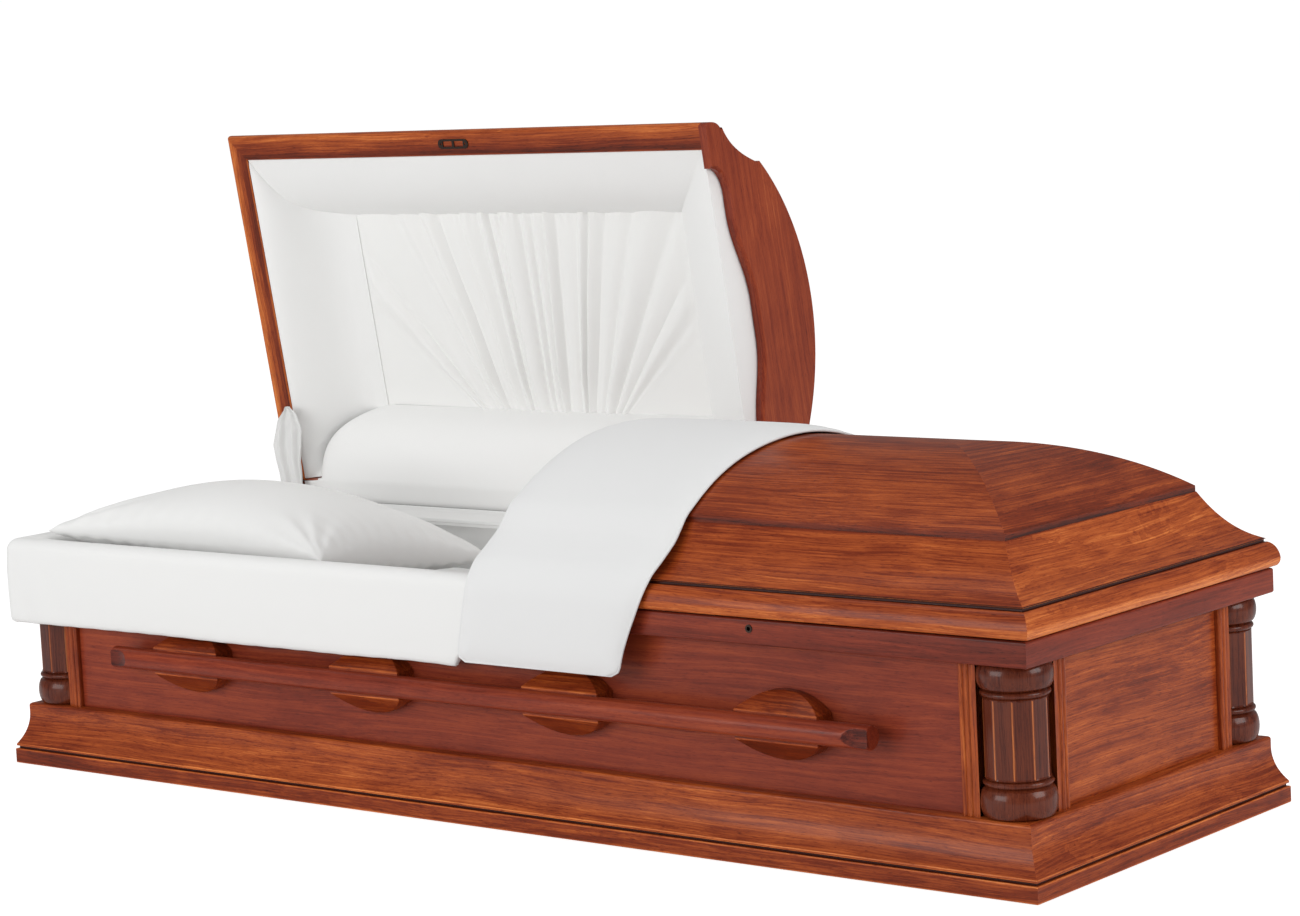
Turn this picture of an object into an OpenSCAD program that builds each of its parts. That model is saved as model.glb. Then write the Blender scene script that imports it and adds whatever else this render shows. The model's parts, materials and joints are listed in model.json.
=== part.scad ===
// Half-couch hardwood funeral casket, shown with the head lid open and the foot lid shut.
// +X runs to the foot end, -Y is the front, +Z is up. The origin is the centre of the underside.

/* [Overall] */
// Length over the plinth
length = 2108; // [1800:1:2300]
// Width over the plinth
width = 704; // [560:1:820]
// Where the head lid ends and the foot lid begins, from the middle of the length
lid_split = 72; // [0:1:200]
// How far the head lid stands open
head_open = 81; // [60:1:88]

/* [Base] */
// Height of the plinth board
plinth_height = 25; // [15:1:40]
// Height of the recessed fillet above the plinth
fillet_height = 4.5; // [3:0.5:8]
// How far the fillet stands back from the plinth edge
fillet_inset = 5; // [3:0.5:10]
// How far the lower tip of the cove stands back from the plinth edge
cove_tip_inset = 1.6; // [0:0.1:5]
// Height at which the cove begins
cove_low = 33; // [28:1:45]
// Height at which the cove turns upright
cove_high = 88; // [70:1:110]
// Inset of the upright part above the cove
cove_top_inset = 20.4; // [12:0.1:30]
// Top of the base moulding
base_top = 104; // [90:1:130]
// Rounding of the top edge of the base moulding
base_round = 5; // [2:1:8]

/* [Walls] */
// Inset of the outer face of the wall panels
panel_inset = 41; // [36:1:50]
// Thickness of the wall panels
panel_thick = 16; // [12:1:24]
// Underside of the top rail
rail_low = 323; // [280:1:340]
// Top of the top rail
rail_high = 361; // [340:1:380]
// Inset of the outer face of the top rail
rail_inset = 12.5; // [8:0.5:20]
// Rounding of the lower and upper edges of the top rail
rail_round = 3.5; // [1:0.5:6]

/* [Corners] */
// Inset of the centre of each corner column
column_inset = 72; // [60:1:90]
// Radius of the column's fat rounds
torus_radius = 54.7; // [45:0.1:60]
// Radius across the corners of the column's flat-sided shaft
shaft_radius = 47; // [38:1:50]
// Number of flats round the shaft
shaft_sides = 10; // [6:1:12]
// Height of the upper fat round
upper_torus_height = 38; // [25:1:50]
// Height of the lower fat round
lower_torus_height = 44; // [25:1:50]
// Height of the thin rings next to the fat rounds
ring_height = 14; // [8:1:20]
// Radius of the thin rings
ring_radius = 50; // [42:1:54]
// Outer edge of the beaded strip, from the corner
post_reach = 141; // [125:1:160]
// Inset of the flat face of the strip
post_inset = 34; // [28:1:38]
// Radius of the two beads
bead_radius = 4.5; // [3:0.5:6]
// Thickness of the curved wall behind the column
post_wall = 14; // [10:1:20]
// Room round the column
column_room = 0.6; // [0.3:0.1:2]

/* [Handles] */
// Half the length of the handle bar
bar_half = 783; // [600:1:850]
// Radius of the handle bar
bar_radius = 18; // [14:0.5:22]
// Distance of the bar's axis from the wall panel
bar_off = 36; // [28:1:45]
// Height of the handle bar
bar_height = 207; // [180:1:240]
// Distance between neighbouring handle blocks
block_pitch = 409; // [350:1:440]
// Width of a handle block
block_width = 150; // [120:1:170]
// Depth of a block at the bar
block_depth = 38; // [30:1:45]
// Half the height of the channel between the two lips of a block
lip_half = 22; // [19:1:26]
// Half the height of a block
block_half = 52; // [40:1:65]
// Depth of a block at its top and bottom
block_thin = 12; // [4:1:20]
// Length of the scooped cut at each end of the bar
bar_scoop = 34; // [20:1:50]

/* [Lid section] */
// Gap between the top rail and the lid
lid_gap = 3; // [2.6:0.1:5]
// Inset of the underside edge of the lid lip
lip_foot_inset = 8; // [6:0.5:12]
// Inset of the furthest point of the lid lip
lip_inset = 3.7; // [1:0.1:8]
// Height of the lid lip above the lid's underside
lip_height = 37; // [28:1:45]
// Inset at the top of the lid lip
lip_top_inset = 17.5; // [12:0.5:24]
// Height of the groove above the lip
groove_height = 5; // [3:0.5:8]
// Depth of the groove
groove_depth = 4; // [2:0.5:8]
// Inset of the upper end of the lid's cove
ridge_inset = 93; // [80:1:110]
// Height of the lid's cove end above the floor
ridge_height = 484; // [460:1:500]
// Height of the upright edge of the crown
crown_edge = 9; // [5:1:14]
// Height of the crown at the crest
crest_height = 581.5; // [540:0.5:620]
// Thickness of the crown
crown_thick = 18; // [14:1:24]
// Width of the flat rim under the lid
rim_width = 39; // [30:1:50]
// Thickness of the header board at the split
header_thick = 16; // [12:1:22]
// Gap between the two lids
split_gap = 3; // [2:0.5:5]

/* [Header arch] */
// Inset at which the header's cut-out begins
arch_start = 79; // [70:1:95]
// Width of the quarter round at each side of the cut-out
arch_shoulder = 52; // [40:1:70]
// Height of the shoulders of the cut-out
arch_shoulder_rise = 38; // [25:1:50]
// Height of the middle of the cut-out above the shoulders
arch_rise = 32; // [15:1:45]

/* [Lock and hinges] */
// Position of the key socket along the front rail
socket_x = 567; // [400:1:700]
// Height of the key socket
socket_z = 347; // [335:1:352]
// Radius of the key socket
socket_radius = 6; // [4:0.5:9]
// Width across the flats of the key recess
socket_flats = 6; // [4:0.5:8]
// Position of the keeper plate along the head lid
keeper_x = -490; // [-600:1:-300]
// Length of the keeper plate
keeper_length = 70; // [50:1:90]
// Width of the keeper plate
keeper_width = 17; // [12:1:24]
// Distance of the hinge axis from the plinth's back edge
hinge_inset = 1; // [-4:0.5:4]
// Thickness of a hinge leaf
leaf_thick = 1.35; // [1:0.05:1.35]
// Width of a hinge leaf
leaf_width = 36; // [25:1:40]
// Outer radius of the hinge knuckles
knuckle_radius = 3.5; // [2.5:0.1:4]
// Radius of the hinge pin
pin_radius = 1.5; // [1:0.1:2]
// Length of one knuckle with its gap
knuckle_pitch = 60; // [30:1:100]

/* [Bed and lining] */
// Top of the deck that carries the mattress
deck_top = 200; // [150:1:240]
// Thickness of the mattress
mattress_thick = 88; // [60:1:120]
// Thickness of the padded wall lining
lining_thick = 12; // [8:1:20]
// Centre of the pillow along the length
pillow_x = -705; // [-760:1:-600]
// Length of the pillow
pillow_length = 590; // [450:1:640]
// Breadth of the pillow across the casket
pillow_breadth = 500; // [380:1:540]
// Thickness of the pillow
pillow_thick = 165; // [100:1:190]
// Thickness of the pillow at its edges
pillow_edge = 32; // [10:1:60]
// How far the pillow tips up at the head end
pillow_tilt = 6; // [0:1:12]
// Lower edge of the padded extendover
extend_low = 251; // [240:1:290]
// Top of the padded extendover
extend_high = 388; // [375:1:400]
// How far the extendover stands out in front of the plinth edge
extend_proud = 2; // [0:1:15]
// End of the extendover next to the throw
extend_end = 2; // [-20:1:5]
// Depth of the lid lining, from the lid's underside to the fan panel
fan_depth = 116; // [90:1:130]
// Inset of the fan panel
fan_inset = 177; // [150:1:200]
// Lower edge of the throw
throw_low = 262; // [262:1:300]
// Thickness of the throw
throw_thick = 14; // [8:1:18]
// How far the throw reaches over the open half
throw_over = 62; // [20:1:80]
// Foot-side end of the throw at its lower edge
throw_low_x = 330; // [250:1:400]
// Foot-side end of the throw at the crest
throw_crest_x = 425; // [350:1:500]

/* [Hidden] */
eps = 0.01;
hl = length / 2;
hw = width / 2;
wood = [0.45, 0.19, 0.11];
wood_dark = [0.26, 0.1, 0.07];
cloth = [0.93, 0.93, 0.92];
metal = [0.35, 0.35, 0.36];
arc_steps = 12;
wall_inset = panel_inset + panel_thick;
mitre_reach = 160;
lid_low = rail_high + lid_gap;
hinge_y = hw - hinge_inset;
hinge_z = rail_high + lid_gap / 2;
head_end_x = lid_split;
foot_start_x = lid_split + split_gap;
rim_inset = lip_foot_inset + rim_width;
crown_base = ridge_height;
crown_arc_low = crown_base + crown_edge;
crown_half = hw - ridge_inset - 1;
crown_rise = crest_height - crown_arc_low;
crown_radius = (crown_half * crown_half + crown_rise * crown_rise) / (2 * crown_rise);
crown_inner_inset = ridge_inset + crown_thick;
cove_radius = (pow(cove_top_inset - cove_tip_inset, 2) + pow(cove_high - cove_low, 2))
  / (2 * (cove_top_inset - cove_tip_inset));
groove_top = lid_low + lip_height + groove_height;
slope_out = lip_top_inset + 1;
block_sag = block_half - lip_half;
block_radius = (pow(block_width / 2, 2) + pow(block_sag, 2)) / (2 * block_sag);
fan_z = lid_low + fan_depth;
mattress_top = deck_top + mattress_thick;

// Points of a circular arc round (cx, cy) from angle a to angle b.
function arc(cx, cy, r, a, b, n = arc_steps) =
  [for (k = [0:n]) [cx + r * cos(a + (b - a) * k / n), cy + r * sin(a + (b - a) * k / n)]];

// Inset of the base cove at height z: a hollow circular curve that ends upright.
function base_cove(z) =
  cove_top_inset - cove_radius + sqrt(cove_radius * cove_radius - pow(cove_high - z, 2));

// Height of the lid's hollow slope at inset i: it starts shallow and steepens to the ridge.
function slope_t(i) = (i - slope_out) / (ridge_inset - slope_out);
function lid_slope(i) =
  groove_top + (ridge_height - groove_top) * (0.42 * slope_t(i) + 0.58 * pow(slope_t(i), 2.4));

// Height of the crown at distance y from the crest line.
function crown_z(y, r = crown_radius, top = crest_height) = top - r + sqrt(r * r - y * y);

// Height of the header's cut-out at inset i: a quarter round, a shoulder, then a soft rise.
function ease(t) = (1 - cos(180 * min(1, max(0, t)))) / 2;
function arch_quarter(i) = sqrt(1 - pow((arch_start + arch_shoulder - i) / arch_shoulder, 2));
function arch_soft(i) =
  ease((i - arch_start - 1.6 * arch_shoulder) / (hw - arch_start - 2.2 * arch_shoulder));
function arch_z(i) = i < arch_start + arch_shoulder
  ? lid_low + arch_shoulder_rise * arch_quarter(i)
  : lid_low + arch_shoulder_rise + arch_rise * arch_soft(i);

// Sections are drawn as [inset, height].
base_section = concat(
  [[wall_inset, plinth_height], [fillet_inset, plinth_height],
   [fillet_inset, plinth_height + fillet_height], [cove_tip_inset + 1, plinth_height + fillet_height],
   [cove_tip_inset, plinth_height + fillet_height + 1.2]],
  [for (k = [0:arc_steps]) let (z = cove_low + (cove_high - cove_low) * k / arc_steps) [base_cove(z), z]],
  arc(cove_top_inset + base_round, base_top - base_round, base_round, 180, 90, 5),
  [[wall_inset, base_top]]);

rail_section = concat(
  arc(rail_inset + rail_round, rail_low + rail_round, rail_round, 270, 180, 5),
  arc(rail_inset + rail_round, rail_high - rail_round, rail_round, 180, 90, 5),
  [[wall_inset, rail_high], [wall_inset, rail_low]]);

lip_bulge = 12;
mould_outer = concat(
  [[lip_foot_inset, lid_low], [lip_foot_inset - 2.6, lid_low + 3.5],
   [lip_inset + 0.4, lid_low + 7.5], [lip_inset, lid_low + lip_bulge]],
  [for (k = [1:8]) let (t = k / 8)
    [lip_inset + (lip_top_inset - lip_inset) * (0.75 * (1 - cos(90 * t)) + 0.25 * t),
     lid_low + lip_bulge + (lip_height - lip_bulge) * (0.7 * sin(90 * t) + 0.3 * t)]],
  [[lip_top_inset + groove_depth, lid_low + lip_height + 0.5],
   [lip_top_inset + groove_depth, groove_top - 0.5]],
  [for (k = [0:arc_steps]) let (i = slope_out + (ridge_inset - slope_out) * k / arc_steps)
    [i, lid_slope(i)]]);
mould_inner = [[crown_inner_inset, ridge_height], [crown_inner_inset - 3, ridge_height - 18],
  [crown_inner_inset - 12, ridge_height - 42], [rim_inset + 34, lid_low + 46],
  [rim_inset + 12, lid_low + 26], [rim_inset, lid_low + 14]];
mould_section = concat([[rim_inset, lid_low]], mould_outer, mould_inner);

// A moulding along the front (side = -1) or the back (side = 1), from x0 to x1.
module long_run(section, side, x0, x1) {
  translate([x0, 0, 0])
    rotate([90, 0, 90])
      linear_extrude(height = x1 - x0)
        polygon([for (p = section) [side * (hw - p[0]), p[1]]]);
}

// A moulding across the head (side = -1) or the foot (side = 1).
module cross_run(section, side) {
  translate([0, hw, 0])
    rotate([90, 0, 0])
      linear_extrude(height = width)
        polygon([for (p = section) [side * (hl - p[0]), p[1]]]);
}

// Plan wedges that mitre a front or back run, and an end run, at 45 degrees.
module long_wedge(side, x0, x1, mitre0, mitre1, low, high) {
  translate([0, 0, low])
    linear_extrude(height = high - low)
      polygon([[x0, side * hw], [x1, side * hw],
        [x1 - (mitre1 ? mitre_reach : 0), side * (hw - mitre_reach)],
        [x0 + (mitre0 ? mitre_reach : 0), side * (hw - mitre_reach)]]);
}

module cross_wedge(side, low, high) {
  translate([0, 0, low])
    linear_extrude(height = high - low)
      polygon([[side * hl, -hw], [side * hl, hw],
        [side * (hl - mitre_reach), hw - mitre_reach], [side * (hl - mitre_reach), -hw + mitre_reach]]);
}

module long_piece(section, side, low, high, x0 = -hl, x1 = hl, mitre0 = true, mitre1 = true) {
  intersection() {
    long_run(section, side, x0, x1);
    long_wedge(side, x0, x1, mitre0, mitre1, low, high);
  }
}

module cross_piece(section, side, low, high) {
  intersection() {
    cross_run(section, side);
    cross_wedge(side, low, high);
  }
}

module plinth() {
  color(wood)
    translate([-hl, -hw, 0])
      cube([length, width, plinth_height]);
}

module base_front() {
  color(wood) long_piece(base_section, -1, plinth_height - 1, base_top + 1);
}

module base_back() {
  color(wood) long_piece(base_section, 1, plinth_height - 1, base_top + 1);
}

module base_head() {
  color(wood) cross_piece(base_section, -1, plinth_height - 1, base_top + 1);
}

module base_foot() {
  color(wood) cross_piece(base_section, 1, plinth_height - 1, base_top + 1);
}

module long_panel(side) {
  y = side * (hw - panel_inset - panel_thick / 2);
  translate([-hl + post_reach, y - panel_thick / 2, base_top])
    cube([length - 2 * post_reach, panel_thick, rail_low - base_top]);
}

module cross_panel(side) {
  x = side * (hl - panel_inset - panel_thick / 2);
  translate([x - panel_thick / 2, -hw + post_reach, base_top])
    cube([panel_thick, width - 2 * post_reach, rail_low - base_top]);
}

module panel_front() {
  color(wood) long_panel(-1);
}

module panel_back() {
  color(wood) long_panel(1);
}

module panel_head() {
  color(wood) cross_panel(-1);
}

module panel_foot() {
  color(wood) cross_panel(1);
}

module rail_front() {
  color(wood)
    difference() {
      long_piece(rail_section, -1, rail_low - 1, rail_high + 1);
      translate([socket_x, -hw, socket_z])
        rotate([-90, 0, 0])
          cylinder(h = rail_inset + socket_depth, r = socket_radius + 0.1, $fn = 48);
    }
}

module rail_back() {
  color(wood) long_piece(rail_section, 1, rail_low - 1, rail_high + 1);
}

module rail_head() {
  color(wood) cross_piece(rail_section, -1, rail_low - 1, rail_high + 1);
}

module rail_foot() {
  color(wood) cross_piece(rail_section, 1, rail_low - 1, rail_high + 1);
}

// A corner post drawn for the corner at the origin, reaching into +X and +Y.
module post_shape() {
  tall = rail_low - base_top;
  translate([0, 0, base_top])
    difference() {
      intersection() {
        union() {
          translate([post_inset, post_inset, 0])
            cube([post_reach - post_inset, wall_inset - post_inset, tall]);
          translate([post_inset, post_inset, 0])
            cube([wall_inset - post_inset, post_reach - post_inset, tall]);
          translate([column_inset, column_inset, 0])
            cylinder(h = tall, r = torus_radius + column_room + post_wall, $fn = 96);
          for (k = [1, 3]) {
            translate([post_reach - k * bead_radius, post_inset + 2, 0])
              cylinder(h = tall, r = bead_radius, $fn = 32);
            translate([post_inset + 2, post_reach - k * bead_radius, 0])
              cylinder(h = tall, r = bead_radius, $fn = 32);
          }
        }
        translate([post_inset - bead_radius, post_inset - bead_radius, 0])
          cube([post_reach - post_inset + bead_radius, post_reach - post_inset + bead_radius, tall]);
      }
      translate([column_inset, column_inset, -1])
        cylinder(h = tall + 2, r = torus_radius + column_room, $fn = 96);
    }
}

module post_at(sx, sy) {
  color(wood)
    translate([sx * hl, sy * hw, 0])
      mirror([sx > 0 ? 1 : 0, 0, 0])
        mirror([0, sy > 0 ? 1 : 0, 0])
          post_shape();
}

module post_fh() {
  post_at(-1, -1);
}

module post_ff() {
  post_at(1, -1);
}

module post_bh() {
  post_at(-1, 1);
}

module post_bf() {
  post_at(1, 1);
}

// Half outline of a round from z0 to z1 that swells from radius r0 to radius r1.
function swell(z0, z1, r0, r1, n = 10) =
  [for (k = [0:n]) [r0 + (r1 - r0) * sqrt(max(0, 1 - pow(2 * k / n - 1, 2))), z0 + (z1 - z0) * k / n]];

module column_shape() {
  tall = rail_low - base_top;
  low_ring = lower_torus_height + ring_height;
  top_ring = tall - upper_torus_height - ring_height;
  neck = torus_radius - 9;
  rotate_extrude($fn = 96)
    polygon(concat([[0, 0]], swell(0, lower_torus_height, neck, torus_radius),
      swell(lower_torus_height + 1, low_ring - 4, neck - 1, ring_radius, 6),
      [[neck - 1, low_ring], [0, low_ring]]));
  rotate_extrude($fn = 96)
    polygon(concat([[0, top_ring], [neck - 1, top_ring]],
      swell(top_ring + 4, tall - upper_torus_height - 1, neck - 1, ring_radius, 6),
      swell(tall - upper_torus_height, tall, neck, torus_radius), [[0, tall]]));
  translate([0, 0, low_ring - 1])
    rotate(45 + 180 / shaft_sides)
      cylinder(h = top_ring - low_ring + 2, r = shaft_radius, $fn = shaft_sides);
}

module column_at(sx, sy) {
  color(wood_dark)
    translate([sx * (hl - column_inset), sy * (hw - column_inset), base_top])
      mirror([sx > 0 ? 0 : 1, 0, 0])
        mirror([0, sy > 0 ? 0 : 1, 0])
          column_shape();
}

module column_fh() {
  column_at(-1, -1);
}

module column_ff() {
  column_at(1, -1);
}

module column_bh() {
  column_at(-1, 1);
}

module column_bf() {
  column_at(1, 1);
}

// A handle block: a lens-shaped block with a gabled front and a round channel for the bar.
module block_shape() {
  arc_centre = block_half - block_radius;
  difference() {
    intersection() {
      rotate([90, 0, 0])
        intersection() {
          translate([0, arc_centre, -1])
            cylinder(h = block_depth + 2, r = block_radius, $fn = 120);
          translate([0, -arc_centre, -1])
            cylinder(h = block_depth + 2, r = block_radius, $fn = 120);
          translate([-block_width / 2, -block_half, 0])
            cube([block_width, 2 * block_half, block_depth]);
        }
      translate([-block_width / 2 - 1, 0, 0])
        rotate([90, 0, 90])
          linear_extrude(height = block_width + 2)
            polygon([[0, -block_half], [-block_thin, -block_half], [-block_depth, -lip_half],
              [-block_depth, lip_half], [-block_thin, block_half], [0, block_half]]);
    }
    translate([-block_width, -bar_off, 0])
      rotate([0, 90, 0])
        cylinder(h = 2 * block_width, r = bar_radius, $fn = 64);
    translate([-block_width, -2 * block_depth, -bar_radius])
      cube([2 * block_width, 2 * block_depth - bar_off, 2 * bar_radius]);
  }
}

module block_at(k, side) {
  color(wood)
    translate([(k - 2.5) * block_pitch, side * (hw - panel_inset), bar_height])
      mirror([0, side > 0 ? 1 : 0, 0])
        block_shape();
}

module block_f1() {
  block_at(1, -1);
}

module block_f2() {
  block_at(2, -1);
}

module block_f3() {
  block_at(3, -1);
}

module block_f4() {
  block_at(4, -1);
}

module block_b1() {
  block_at(1, 1);
}

module block_b2() {
  block_at(2, 1);
}

module block_b3() {
  block_at(3, 1);
}

module block_b4() {
  block_at(4, 1);
}

// The bar: a round rod with a shallow scoop on the outward side of each end.
module bar_at(side) {
  scoop_radius = 60;
  scoop_deep = 7;
  scoop_x = bar_half - bar_scoop / 2 + 4;
  scoop_y = scoop_radius + bar_radius - scoop_deep;
  color(wood)
    translate([0, side * (hw - panel_inset + bar_off), bar_height])
      difference() {
        translate([-bar_half, 0, 0])
          rotate([0, 90, 0])
            cylinder(h = 2 * bar_half, r = bar_radius, $fn = 64);
        for (s = [-1, 1])
          translate([s * scoop_x, side * scoop_y, -bar_radius - 1])
            cylinder(h = 2 * bar_radius + 2, r = scoop_radius, $fn = 96);
      }
}

module bar_front() {
  bar_at(-1);
}

module bar_back() {
  bar_at(1);
}

socket_depth = 14;
socket_proud = 1.2;
module key_socket() {
  color(metal)
    translate([socket_x, -hw + rail_inset - socket_proud, socket_z])
      rotate([-90, 0, 0])
        difference() {
          cylinder(h = socket_depth + socket_proud - 0.2, r = socket_radius, $fn = 48);
          translate([0, 0, -1])
            rotate(30)
              cylinder(h = socket_depth - 2, r = socket_flats / sqrt(3), $fn = 6);
        }
}

bed_room = 30;
module bed_deck() {
  x = hl - post_reach - 10;
  y = hw - wall_inset - lining_thick - bed_room;
  board = 12;
  bearer = 40;
  color(wood) {
    translate([-x, -y, deck_top - board])
      cube([2 * x, 2 * y, board]);
    for (k = [-1, 0, 1])
      translate([k * (x - bearer) - bearer / 2, -y, plinth_height])
        cube([bearer, 2 * y, deck_top - board - plinth_height + 1]);
  }
}

module mattress() {
  x = hl - post_reach - lining_thick - 3;
  y = hw - wall_inset - lining_thick - bed_room / 2;
  color(cloth)
    translate([-x, -y, deck_top + 0.2])
      cube([2 * x, 2 * y, mattress_thick - 0.2]);
}

// The pillow is a crowned cushion whose sides pull in between its corners, tipped up at the head end.
pillow_nu = 20;
pillow_nv = 16;
pillow_pull = 0.06;
pillow_lift = 8;
function pillow_half(u, v) =
  (pillow_edge + (pillow_thick - pillow_edge) * pow((1 - u * u) * (1 - v * v), 0.45)) / 2;
function pillow_point(u, v, up) =
  [u * pillow_length / 2 * (1 - pillow_pull * (1 - v * v)),
   v * pillow_breadth / 2 * (1 - pillow_pull * (1 - u * u)), up * pillow_half(u, v)];
function pillow_layer(up) =
  [for (i = [0:pillow_nu]) for (j = [0:pillow_nv])
    pillow_point(2 * i / pillow_nu - 1, 2 * j / pillow_nv - 1, up)];
pillow_count = (pillow_nu + 1) * (pillow_nv + 1);
function pillow_at(i, j, up) = i * (pillow_nv + 1) + j + (up > 0 ? 0 : pillow_count);
// Two triangles for a four-sided patch whose corners run clockwise seen from outside.
function patch(a, b, c, d) = [[a, b, c], [a, c, d]];
function pillow_face(i, j, up) = up > 0
  ? patch(pillow_at(i, j, 1), pillow_at(i, j + 1, 1), pillow_at(i + 1, j + 1, 1), pillow_at(i + 1, j, 1))
  : patch(pillow_at(i, j, -1), pillow_at(i + 1, j, -1), pillow_at(i + 1, j + 1, -1),
    pillow_at(i, j + 1, -1));
function pillow_long_edge(i, j, a, b) =
  patch(pillow_at(i + a, j, 1), pillow_at(i + b, j, 1), pillow_at(i + b, j, -1), pillow_at(i + a, j, -1));
function pillow_short_edge(i, j, a, b) =
  patch(pillow_at(i, j + a, 1), pillow_at(i, j + b, 1), pillow_at(i, j + b, -1), pillow_at(i, j + a, -1));
pillow_faces = concat(
  [for (i = [0:pillow_nu - 1]) for (j = [0:pillow_nv - 1]) for (up = [1, -1])
    for (f = pillow_face(i, j, up)) f],
  [for (i = [0:pillow_nu - 1])
    for (f = concat(pillow_long_edge(i, 0, 0, 1), pillow_long_edge(i, pillow_nv, 1, 0))) f],
  [for (j = [0:pillow_nv - 1])
    for (f = concat(pillow_short_edge(0, j, 1, 0), pillow_short_edge(pillow_nu, j, 0, 1))) f]);

module pillow() {
  color(cloth)
    translate([pillow_x, 0, mattress_top + pillow_thick / 2 + pillow_lift])
      rotate([0, pillow_tilt, 0])
        polyhedron(points = concat(pillow_layer(1), pillow_layer(-1)), faces = pillow_faces);
}

// The room inside the walls, kept clear of the corner posts by a given margin.
module room(inset, margin, low, high) {
  difference() {
    translate([-hl + inset, -hw + inset, low])
      cube([length - 2 * inset, width - 2 * inset, high - low]);
    for (sx = [-1, 1])
      for (sy = [-1, 1])
        translate([sx * (hl - column_inset), sy * (hw - column_inset), low - 1])
          cylinder(h = high - low + 2, r = torus_radius + column_room + post_wall + margin, $fn = 96);
  }
}

module body_lining() {
  low = plinth_height + 2;
  high = rail_high - 2;
  color(cloth)
    difference() {
      room(wall_inset + 0.5, 0.5, low, high);
      room(wall_inset + 0.5 + lining_thick, 0.5 + lining_thick, low - 1, high + 1);
    }
}

extend_section = concat(
  [[rail_inset - 0.6, rail_high + 0.6], [rail_inset - 0.6, extend_low], [2, extend_low],
   [-extend_proud, extend_low + 6]],
  arc(-extend_proud + 22, extend_high - 18, 22, 180, 100, 6),
  [[46, extend_high - 1], [58, extend_high - 8], [64, extend_high - 18], [wall_inset + 8, rail_high + 0.6]]);

extend_reach = 90;
module extend_front() {
  color(cloth)
    intersection() {
      long_run(extend_section, -1, -hl - extend_reach, extend_end);
      translate([0, 0, extend_low - 1])
        linear_extrude(height = extend_high - extend_low + 20)
          polygon([[-hl - 20 + 0.5, -hw - 20], [extend_end, -hw - 20], [extend_end, -hw + extend_reach],
            [-hl + extend_reach + 0.5, -hw + extend_reach]]);
    }
}

extend_back_y = 296;
module extend_head() {
  color(cloth)
    intersection() {
      cross_run(extend_section, -1);
      translate([0, 0, extend_low - 1])
        linear_extrude(height = extend_high - extend_low + 20)
          polygon([[-hl - 20, -hw - 20 + 0.5], [-hl + extend_reach, -hw + extend_reach + 0.5],
            [-hl + extend_reach, extend_back_y], [-hl - 20, extend_back_y]]);
    }
}

// Gathered cloth that stands up from the rail at the back of the head end.
module hinge_flap() {
  color(cloth)
    translate([-hl + 14, 0, rail_high + 0.6])
      rotate([90, 0, 90])
        linear_extrude(height = 34)
          polygon([[302, 0], [336, 0], [338, 40], [331, 90], [320, 140], [308, 186], [300, 189], [296, 180],
            [302, 130], [298, 70]]);
}

// One side of a long strip hinge. own = 0 takes the even knuckles, own = 1 the odd ones.
module strip_hinge(x0, x1, own) {
  count = floor((x1 - x0) / knuckle_pitch);
  run = (x1 - x0) / count;
  reach = knuckle_radius + 0.5;
  low = own == 0 ? rail_high : lid_low - leaf_thick;
  color(metal)
    difference() {
      union() {
        translate([x0, hinge_y - leaf_width, low])
          cube([x1 - x0, leaf_width - reach, leaf_thick]);
        for (k = [own:2:count - 1])
          translate([x0 + k * run + 0.25, 0, 0]) {
            translate([0, hinge_y - reach - eps, low])
              cube([run - 0.5, reach, leaf_thick]);
            translate([0, hinge_y, hinge_z])
              rotate([0, 90, 0])
                cylinder(h = run - 0.5, r = knuckle_radius, $fn = 32);
          }
        if (own == 0)
          translate([x0 + 0.25, hinge_y, hinge_z])
            rotate([0, 90, 0])
              cylinder(h = x1 - x0 - 0.5, r = pin_radius, $fn = 24);
      }
      if (own == 1)
        translate([x0 - 1, hinge_y, hinge_z])
          rotate([0, 90, 0])
            cylinder(h = x1 - x0 + 2, r = pin_radius + 0.05, $fn = 24);
    }
}

hinge_margin = 70;
hinge_head_x0 = -hl + hinge_margin;
hinge_head_x1 = head_end_x - 20;
hinge_foot_x0 = foot_start_x + 20;
hinge_foot_x1 = hl - hinge_margin;

module hinge_head_body() {
  strip_hinge(hinge_head_x0, hinge_head_x1, 0);
}

module hinge_foot_body() {
  strip_hinge(hinge_foot_x0, hinge_foot_x1, 0);
}

// The head lid is drawn shut and then swung open about the hinge axis.
module swing() {
  translate([0, hinge_y, hinge_z])
    rotate([-head_open, 0, 0])
      translate([0, -hinge_y, -hinge_z])
        children();
}

module lid_mould_long(side, x0, x1, at_head) {
  long_piece(mould_section, side, lid_low - 1, ridge_height + 1, x0, x1, at_head, !at_head);
}

module keeper_slots(low, high) {
  slot = 21;
  for (s = [-1, 1])
    translate([keeper_x + s * (slot / 2 + 2.5) - slot / 2, -hw + keeper_inset - 5, low])
      cube([slot, 10, high - low]);
}

keeper_inset = 26.5;
keeper_proud = 1.8;
module head_mould_front() {
  color(wood)
    swing()
      difference() {
        lid_mould_long(-1, -hl, head_end_x - header_thick, true);
        keeper_slots(lid_low - 1, lid_low + 12);
      }
}

module head_mould_back() {
  color(wood) swing() lid_mould_long(1, -hl, head_end_x - header_thick, true);
}

module head_mould_end() {
  color(wood) swing() cross_piece(mould_section, -1, lid_low - 1, ridge_height + 1);
}

// Crown outline across the lid, thinned by t on the inside.
function crown_outline(t) = concat(
  [[-crown_half + t, crown_base]],
  [for (k = [0:24]) let (y = (-crown_half + t) + 2 * (crown_half - t) * k / 24)
    [y, crown_z(y, crown_radius - t, crest_height - t)]],
  [[crown_half - t, crown_base]]);

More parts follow.
